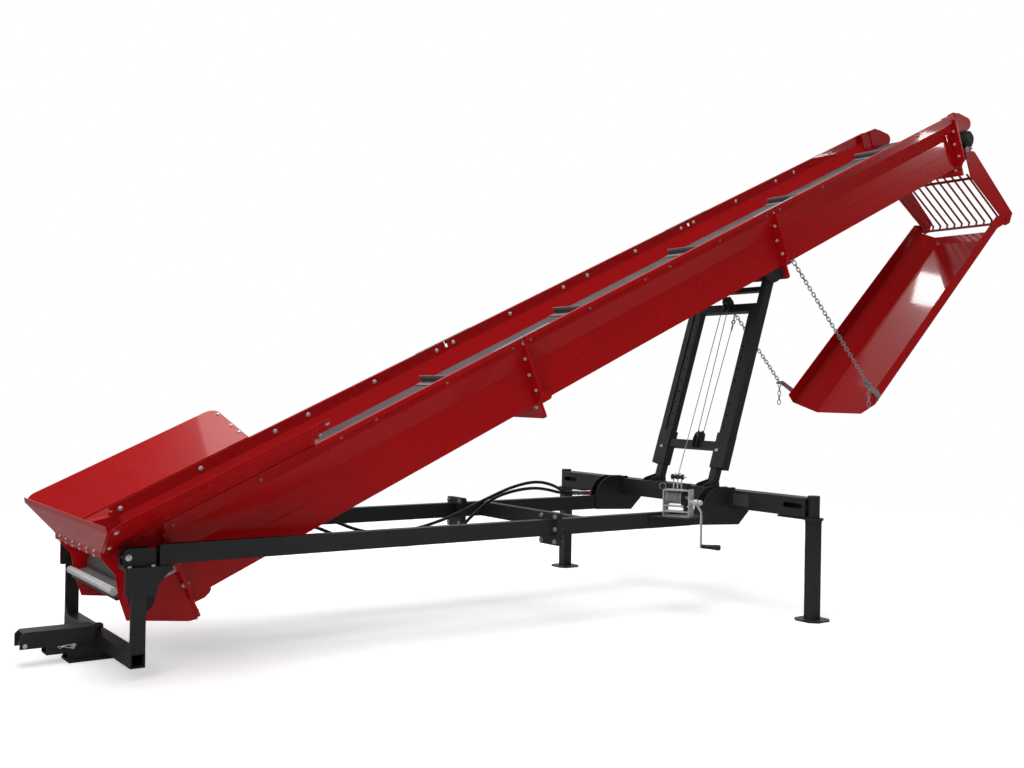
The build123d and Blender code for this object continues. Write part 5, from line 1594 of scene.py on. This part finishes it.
@dataclass
class FrameDetails:
    """Bolts, pins and plates of the parking frame."""

    paints: Paints
    fasteners: FastenerBox
    clip_wire: float = 0.0018
    knob: Profile = field(default_factory=lambda: [
        (0.012, 0.0), (0.012, 0.012), (0.020, 0.016), (0.022, 0.024), (0.019, 0.034), (0.010, 0.038), (0.002, 0.039),
    ])

    def build(self) -> None:
        """Fit everything on the frame."""
        self.joint_bolts()
        self.pivot_bolts()
        self.hitch_pins()
        self.plates()

    def joint_bolts(self) -> None:
        """Bolts through the end plates of the side beams."""
        heads, nuts = [], []
        for side in SIDES:
            for y, z in ((0.500, 0.552), (0.500, 0.489), (0.500, 0.426), (0.387, 0.552), (0.387, 0.426)):
                heads.append((Vector((FRONT_X + 2.118, side * y, z)), Vector((-1, 0, 0))))
                nuts.append((Vector((FRONT_X + 2.148, side * y, z)), Vector((1, 0, 0))))
        self.fasteners.set_out("beam_joint_heads", Head.HEX, heads, Body.FRAME, DULL_ZINC, 1.0)
        self.fasteners.set_out("beam_joint_nuts", Head.NUT, nuts, Body.FRAME, DULL_ZINC, 1.0)

    def pivot_bolts(self) -> None:
        """Heads of the tail pivot and the bolts of its clevises."""
        pins, small = [], []
        for side in SIDES:
            pins.append((Vector((FRONT_X - 0.008, side * 0.480, 0.492)), across(side)))
            for x in (-0.005, 0.090):
                small.append((Vector((FRONT_X + x, side * 0.486, 0.452)), Vector((0, 0, 1))))
        self.fasteners.set_out("pivot_heads", Head.DOME, pins, Body.FRAME, ZINC, 1.15)
        self.fasteners.set_out("clevis_bolts", Head.HEX, small, Body.FRAME, ZINC, 0.75)

    def hitch_pins(self) -> None:
        """The cross pin's ends, the lock pin with its sprung clip, and the knob on the beam."""
        shape = Shape()
        for side in SIDES:
            place = facing(Vector((FRONT_X - 0.297, side * 0.0535, 0.090)), across(side))
            shape.lathe(place, [(0.0095, 0.0), (0.0095, 0.0012), (0.008, 0.0022)], 24)
        lock = Vector((FRONT_X - 0.103, 0.0, 0.070))
        pin = [(0.0055, 0.0), (0.0065, 0.001), (0.0065, 0.123), (0.0055, 0.124)]
        shape.lathe(facing(lock - across(1) * 0.062, across(1)), pin, 20)
        near = lock + across(-1) * 0.058
        route = [near + FORWARD * -0.012 + UP * 0.004]
        route += arc(near, FORWARD, UP, 0.0105, 160, -120, 12)
        route += [near + FORWARD * ahead + UP * up for ahead, up in ((0.026, -0.002), (0.042, 0.003), (0.058, -0.003))]
        shape.tube(route, self.clip_wire, 8)
        leg = [near + FORWARD * ahead + UP * up for ahead, up in ((-0.010, 0.008), (0.030, 0.0075), (0.066, 0.004))]
        shape.tube(leg, self.clip_wire, 8)
        fitted(shape, "hitch_lock_pin", self.paints, ZINC, Body.FRAME)
        knob = Shape().lathe(facing(Vector((FRONT_X + 0.026, 0.040, 0.102)), UP), self.knob, 28)
        fitted(knob, "beam_knob", self.paints, DARK_CASTING, Body.FRAME)

    def plates(self) -> None:
        """The bare plate on the rear beam, dark plates inside its slots as painted shade, and the pins of the mast's
        sleeves.
        """
        spots = [(MAST.at(0.202, 0.0300, 0.248), MAST.square), (MAST.at(0.200, 0.0300, -0.228), MAST.square)]
        self.fasteners.set_out("sleeve_pins", Head.HEX, spots, Body.MAST_UPPER, size=0.9)
        # The dark plates inside the rear beam's slots are painted shade for the dark inside of the tube.
        slot_shade_plates = Shape()
        for side in SIDES:
            place = facing(Vector((FRONT_X + 3.403, side * 0.957, 0.598)), FORWARD)
            slot_shade_plates.slab(place, (0.150, 0.074, 0.004), 0.003)
        fitted(slot_shade_plates, "slot_covers", self.paints, DARK_CASTING, Body.FRAME)
        place = facing(Vector((FRONT_X + 3.353, -0.586, 0.593)), FORWARD)
        plate = Shape().slab(place @ Matrix.Translation((0, 0, 0.0006)), (0.114, 0.068, 0.0016), 0.004)
        fitted(plate, "bare_plate", self.paints, GREY_LABEL, Body.FRAME)


@dataclass
class ChuteChains:
    """The chains that hold the chute, their hanging ends and their hooks."""

    paints: Paints
    trees: Trees
    y: float = 0.368
    wire: float = 0.0030
    link_length: float = 0.037
    link_width: float = 0.0216
    eye: float = 0.020
    foot: tuple[float, float] = (FRONT_X + 4.722, 1.266)
    anchor_s: float = 4.255
    anchor_n: float = -0.355
    tail_length: float = 0.135
    squashed: float = 0.665

    def link(self) -> bpy.types.Object:
        """Bend one oval link, long along Z.

        Returns:
            The link as a pattern.
        """
        half = self.link_length / 2 - self.link_width / 2
        radius = self.link_width / 2 - self.wire / 2
        x = Vector((1, 0, 0))
        route = arc(UP * half, x, UP, radius, 0, 180, 6) + arc(UP * -half, x, UP, radius, 180, 360, 6)
        return Shape().tube(route, self.wire, 8, closed=True).finish("chain_link", self.paints.of(DULL_ZINC), 60)

    def build(self) -> None:
        """Hang both chains."""
        link = self.link()
        pins = Shape()
        inputs = {"Link": link, "Pitch": self.link_length - 4 * self.wire, "Finish": self.paints.of(DULL_ZINC)}
        for side, body in ((-1, Body.CHAIN_NEAR), (1, Body.CHAIN_FAR)):
            self.chain(side, body, inputs)
            self.shackle(side)
            self.bracket(side)
            place = facing(Vector((FRONT_X + 4.846, side * 0.349, 1.160)), across(side))
            pins.lathe(place, [(0.005, 0.0), (0.0055, 0.001), (0.0055, 0.009), (0.004, 0.010)], 12)
        bpy.data.objects.remove(link)
        fitted(pins, "chute_end_pins", self.paints, DULL_ZINC, Body.CHUTE)

    def hook_place(self, side: int) -> Vector:
        """Where a chain's lower end is held."""
        return Vector((self.foot[0], side * self.y, self.foot[1]))

    def run(self, side: int) -> tuple[Vector, Vector]:
        """A chain's upper end and its way down to the chute."""
        top = DECK.at(self.anchor_s, self.anchor_n, side * self.y)
        return top, (self.hook_place(side) - top).normalized()

    def chain(self, side: int, body: Body, inputs: dict[str, object]) -> None:
        """Hang a chain and the loose links below its hook.

        Args:
            side: -1 for the near chain and 1 for the far one.
            body: The body that carries it.
            inputs: The link, its pitch and its finish.
        """
        name = side_name(side)
        foot = self.hook_place(side)
        top, way = self.run(side)
        path = [top + way * self.eye, foot - way * self.eye]
        chain = grow(curve_through("chain_path", path), self.trees.chain, f"chain_links_{name}", inputs)
        mounted(chain, body)
        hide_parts(f"chain_{name}")
        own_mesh(chain)
        lower = [foot + Vector((0.004, side * 0.006, -0.012)), foot + Vector((0.004, side * 0.008, -self.tail_length))]
        tail = grow(curve_through("tail_path", lower), self.trees.chain, f"chain_end_{name}", inputs)
        mounted(tail, Body.CHUTE)

    def shackle(self, side: int) -> None:
        """Fit the bow and its bolt at a chain's lower end.

        Args:
            side: -1 for the near shackle and 1 for the far one.
        """
        foot = self.hook_place(side)
        _, way = self.run(side)
        shackle = Shape().tube(arc(foot, way, across(1), 0.013, -160, 160, 12), 0.0038, 10)
        bolt, nut = facing(foot - across(side) * 0.020, across(side)), facing(foot + across(side) * 0.017, across(side))
        shackle.lathe(bolt, [(0.006, 0.0), (0.006, 0.040), (0.005, 0.041)], 16)
        shackle.lathe(nut, [(0.0105, 0.0), (0.0105, 0.008), (0.009, 0.009)], 6)
        fitted(shackle, f"shackle_{side_name(side)}", self.paints, DULL_ZINC, Body.CHUTE)

    def bracket(self, side: int) -> None:
        """Fit the plate on the chute's wall that a chain hangs from, with its two bolts.

        Args:
            side: -1 for the near plate and 1 for the far one.
        """
        reach = Vector((self.foot[0], 0.0, self.foot[1])) - Vector((CHUTE.x, 0.0, CHUTE.z))
        down, up = reach.dot(CHUTE.along), reach.dot(Vector((-CHUTE.square.x, 0.0, -CHUTE.square.z)))
        outline = [
            (down - 0.066, 0.030), (down - 0.026, 0.030), (down - 0.022, 0.088), (down + 0.014, up - 0.002),
            (down + 0.009, up + 0.010), (down, up + 0.0145), (down - 0.010, up + 0.010), (down - 0.016, up),
            (down - 0.056, 0.086), (down - 0.066, 0.084),
        ]
        place = CHUTE.frame(0.0, 0.0, side * 0.348)
        turned = Matrix([[1, 0, 0, 0], [0, 0, 1, 0], [0, -1, 0, 0], [0, 0, 0, 1]])
        plate = Shape().prism(place @ turned, outline, 0.0066)
        outward = Matrix.Rotation(math.radians(-90 * side), 4, "X")
        for along, rise in ((down - 0.046, 0.040), (down - 0.040, 0.064)):
            seat = place @ Matrix.Translation((along, side * 0.0033, -rise)) @ outward
            plate.lathe(seat, [(0.009, 0.0), (0.009, 0.006), (0.007, 0.007)], 6)
        fitted(plate, f"chute_plate_{side_name(side)}", self.paints, DULL_ZINC, Body.CHUTE, "chain_brackets")


@dataclass
class WinchAndRope:
    """The hand winch on the near beam, and its wire rope in the mast."""

    paints: Paints
    trees: Trees
    x: float = FRONT_X + 2.878
    y: float = -0.585
    z: float = 0.526
    turn: float = -62.2
    rope: float = 0.0026
    upper_pulley: tuple[float, float, float] = (1.149, 0.046, -0.024)
    lower_pulley: tuple[float, float, float] = (0.290, 0.012, -0.040)
    rope_offset: float = 0.022
    bend: float = 0.0225
    hook_y: float = -0.075
    slide: float = 0.66
    shaft: float = 0.100
    teeth: int = 40
    lever_half: float = 0.011
    lever_sheet: float = 0.003
    lever: Profile = field(default_factory=lambda: [
        (0.100, 0.084), (0.104, 0.070), (0.112, 0.056), (0.122, 0.042), (0.128, 0.028), (0.129, 0.0), (0.129, -0.070),
        (0.129, -0.158),
    ])
    drum_core: Profile = field(default_factory=lambda: [
        (0.010, 0.0), (0.010, 0.010), (0.040, 0.0105), (0.040, 0.0130), (0.028, 0.0135), (0.028, 0.0900),
        (0.040, 0.0905), (0.040, 0.0930), (0.010, 0.0935), (0.010, 0.136),
    ])
    hub: Profile = field(default_factory=lambda: [
        (0.009, 0.0), (0.013, 0.001), (0.013, 0.020), (0.017, 0.022), (0.017, 0.040), (0.012, 0.043), (0.008, 0.044),
        (0.008, 0.066),
    ])
    grip: Profile = field(default_factory=lambda: [
        (0.009, 0.0), (0.0115, 0.002), (0.0110, 0.006), (0.0108, 0.020), (0.0120, 0.045), (0.0142, 0.078),
        (0.0152, 0.092), (0.0150, 0.098), (0.011, 0.102), (0.002, 0.1025),
    ])
    rollers: Profile = field(default_factory=lambda: [
        (0.006, 0.0), (0.0150, 0.001), (0.0150, 0.010), (0.0100, 0.016), (0.0100, 0.022), (0.0135, 0.027),
        (0.0135, 0.041), (0.0100, 0.046), (0.0100, 0.052), (0.0150, 0.058), (0.0150, 0.067), (0.006, 0.068),
    ])

    @property
    def way(self) -> Vector:
        """The drum's direction."""
        turn = math.radians(self.turn)
        return Vector((math.cos(turn), math.sin(turn), 0.0))

    def at(self, reach: float, depth: float, height: float) -> Vector:
        """Find a point of the winch.

        Args:
            reach: Distance along its drum.
            depth: Distance towards its front.
            height: Distance up.

        Returns:
            The point in the machine's own frame.
        """
        return Vector((self.x, self.y, self.z)) + self.way * reach + self.way.cross(UP) * depth + UP * height

    def on(self, reach: float, depth: float, height: float) -> Matrix:
        """A frame at a point of the winch, with its Z along the drum."""
        return facing(self.at(reach, depth, height), self.way)

    def build(self) -> None:
        """Fit the winch and its rope."""
        self.drum()
        self.crank()
        self.guide()
        self.strands()

    def drum(self) -> None:
        """The drum with its flanges, the wound rope, the tie rods and the gear."""
        wound = bpy.data.meshes.new("winding_seat")
        wound.from_pydata([(0.0, 0.0, 0.0)], [], [])
        rope = grow(linked("winding_seat", wound), self.trees.winding, "wound_rope", {
            "Radius": 0.030, "Turns": 14.0, "Width": 0.074, "Wire": self.rope, "Finish": self.paints.of(DULL_ZINC),
        })
        rope.data.transform(self.on(-0.052, 0, self.shaft))
        rope.data.update()
        mounted(rope, Body.FRAME)
        shape = Shape().lathe(self.on(-0.0680, 0, self.shaft), self.drum_core, 36)
        for height, radius in ((0.057, 0.0055), (0.030, 0.0050)):
            rod = [(radius * 0.8, 0.0), (radius, 0.002), (radius, 0.142), (radius * 0.8, 0.144)]
            shape.lathe(self.on(-0.0720, 0.020, height), rod, 18)
        fitted(shape, "winch_drum_core", self.paints, ZINC, Body.FRAME, "winch_drum")
        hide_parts("winch_drum")
        self.gear()

    def gear(self) -> None:
        """The drum's toothed wheel, its pinion and the block beside them."""
        outline = []
        for tooth in range(self.teeth):
            for share, radius in ((0.0, 0.0375), (0.30, 0.0375), (0.45, 0.0410), (0.80, 0.0410)):
                turn = 2 * math.pi * (tooth + share) / self.teeth
                outline.append((radius * math.cos(turn), radius * math.sin(turn)))
        gear = Shape().prism(self.on(0.036, 0, self.shaft), outline, 0.012)
        gear.lathe(self.on(0.026, 0, 0.057), [(0.012, 0.0), (0.014, 0.001), (0.014, 0.034), (0.012, 0.035)], 20)
        gear.slab(self.on(0.048, 0.004, 0.060), (0.058, 0.056, 0.016), 0.006)
        fitted(gear, "winch_gear", self.paints, DARK_CASTING, Body.FRAME)

    def crank(self) -> None:
        """The cranked lever with its hub, and the tapered grip."""
        shape = Shape().lathe(self.on(0.068, 0, 0.079), self.hub, 24)
        cap = [(0.014, 0.0), (0.0155, 0.002), (0.0155, 0.012), (0.011, 0.016), (0.003, 0.018)]
        shape.lathe(self.on(0.114, 0, 0.079), cap, 24)
        rings = []
        for index, (reach, height) in enumerate(self.lever):
            before = Vector(self.lever[max(index - 1, 0)])
            after = Vector(self.lever[min(index + 1, len(self.lever) - 1)])
            run = (after - before).normalized()
            off = Vector((-run.y, run.x)) * self.lever_sheet
            rings.append([
                shape.mesh.verts.new(self.at(reach + off.x * sign, depth * self.lever_half, height + off.y * sign))
                for sign, depth in ((1, -1), (-1, -1), (-1, 1), (1, 1))
            ])
        shape.loft(rings)
        shape.lathe(self.on(0.124, 0, -0.150), [(0.006, 0.0), (0.008, 0.001), (0.008, 0.012), (0.006, 0.013)], 18)
        fitted(shape, "winch_lever", self.paints, ZINC, Body.FRAME, "winch_crank")
        grip = Shape().lathe(self.on(0.133, 0, -0.150), self.grip, 28)
        fitted(grip, "winch_grip", self.paints, BLACK_PLASTIC, Body.FRAME, "winch_crank")

    def guide(self) -> None:
        """The rope guide above the frame, with its rollers, posts, nuts and loop of wire."""
        block = Shape().lathe(self.on(-0.040, 0, 0.211), self.rollers, 24)
        block.slab(facing(self.at(0.046, 0.0, 0.162), UP), (0.030, 0.046, 0.030), 0.005)
        fitted(block, "rope_guide_rollers", self.paints, BLACK_PLASTIC, Body.FRAME, "cable_guide")
        posts = Shape()
        for reach in (-0.026, -0.004, 0.018):
            bends = ((0.004, 0.140), (0.004, 0.170), (0.002, 0.205))
            posts.tube([self.at(reach, depth, height) for depth, height in bends], 0.0035, 10)
        posts.lathe(self.on(-0.044, 0, 0.211), [(0.004, 0.0), (0.0045, 0.001), (0.0045, 0.086), (0.004, 0.087)], 16)
        posts.slab(facing(self.at(0.046, 0.0, 0.1455), UP), (0.052, 0.050, 0.004), 0.002)
        nut = [(0.0065, 0.0), (0.0065, 0.005), (0.0035, 0.006), (0.0035, 0.010)]
        for reach, height in ((-0.016, 0.226), (0.008, 0.228)):
            posts.lathe(facing(self.at(reach, 0.002, height - 0.004), UP), nut, 6)
        loop = arc(self.at(-0.078, 0.030, 0.160), UP, self.way, 0.018, -150, 120, 14)
        posts.tube(loop + [self.at(-0.066, 0.032, 0.128)], 0.0012, 6)
        fitted(posts, "rope_guide_posts", self.paints, ZINC, Body.FRAME, "cable_guide")

    def strand(self, name: str, route: list[Vector]) -> bpy.types.Object:
        """Lay a length of rope.

        Args:
            name: The piece's name.
            route: The points that it follows.

        Returns:
            The rope, not yet on a body.
        """
        inputs = {"Radius": self.rope, "Finish": self.paints.of(DULL_ZINC)}
        return grow(curve_through("rope_path", route), self.trees.rope, name, inputs)

    def strands(self) -> None:
        """The rope from the winch over the upper pulley, down to the lower one and up to its hook."""
        top, top_square, top_y = self.upper_pulley
        low, low_square, low_y = self.lower_pulley
        guide_top = self.at(-0.004, 0.0, 0.215)
        top_front, top_back = (MAST.at(top, top_square + way * self.rope_offset, top_y) for way in (1, -1))
        low_front, low_back = (MAST.at(low, low_square + way * self.rope_offset, low_y) for way in (1, -1))
        hook = MAST.at(1.010, 0.0, self.hook_y)
        first = self.strand("rope_to_winch", [guide_top, top_front])
        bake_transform(first)
        over = arc(MAST.at(*self.upper_pulley), MAST.square, MAST.along, self.bend, 0, 180, 10)
        mounted(self.strand("rope_over_pulley", over), Body.MAST_LOWER)
        under = arc(MAST.at(*self.lower_pulley), MAST.square, MAST.along, self.bend, 0, -180, 10)
        mounted(self.strand("rope_under_pulley", under), Body.MAST_UPPER)
        for name, start, end in (("rope_down", top_back, low_front), ("rope_up", hook, low_back)):
            strand = mounted(self.strand(name, [start, end]), Body.MAST_LOWER)
            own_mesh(strand)
        self.hook(hook)

    def hook(self, place: Vector) -> None:
        """Fit the hook at the rope's end.

        Args:
            place: Where the rope ends.
        """
        eye = Shape()
        eye.tube(arc(place + MAST.along * 0.016, MAST.along, across(1), 0.012, -170, 170, 14), 0.0042, 10)
        bar = MAST.at(1.085, 0.0, self.hook_y)
        eye.tube([place + MAST.along * 0.026, place + MAST.along * 0.050 + across(1) * 0.006, bar], 0.0045, 10)
        ferrule = [(0.0040, 0.0), (0.0052, 0.002), (0.0052, 0.036), (0.004, 0.038)]
        eye.lathe(facing(place - MAST.along * 0.040, MAST.along), ferrule, 14)
        fitted(eye, "rope_hook", self.paints, DULL_ZINC, Body.MAST_LOWER)


def main() -> None:
    """Load the frame and build each sub-assembly in order."""
    logging.basicConfig(level=logging.INFO, format="%(message)s")
    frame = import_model()
    paints = Paints()
    trees = Trees()
    Studio().build()
    HydraulicLines(paints).build()
    DressedSteel(paints).dress(frame)
    fasteners = FastenerBox(paints, trees)
    fasteners.prepare()
    HopperAndHead(paints).build()
    ConveyorDetails(paints, fasteners).build()
    FrameDetails(paints, fasteners).build()
    ChuteChains(paints, trees).build()
    WinchAndRope(paints, trees).build()
    fasteners.put_away()


if __name__ == "__main__":
    main()
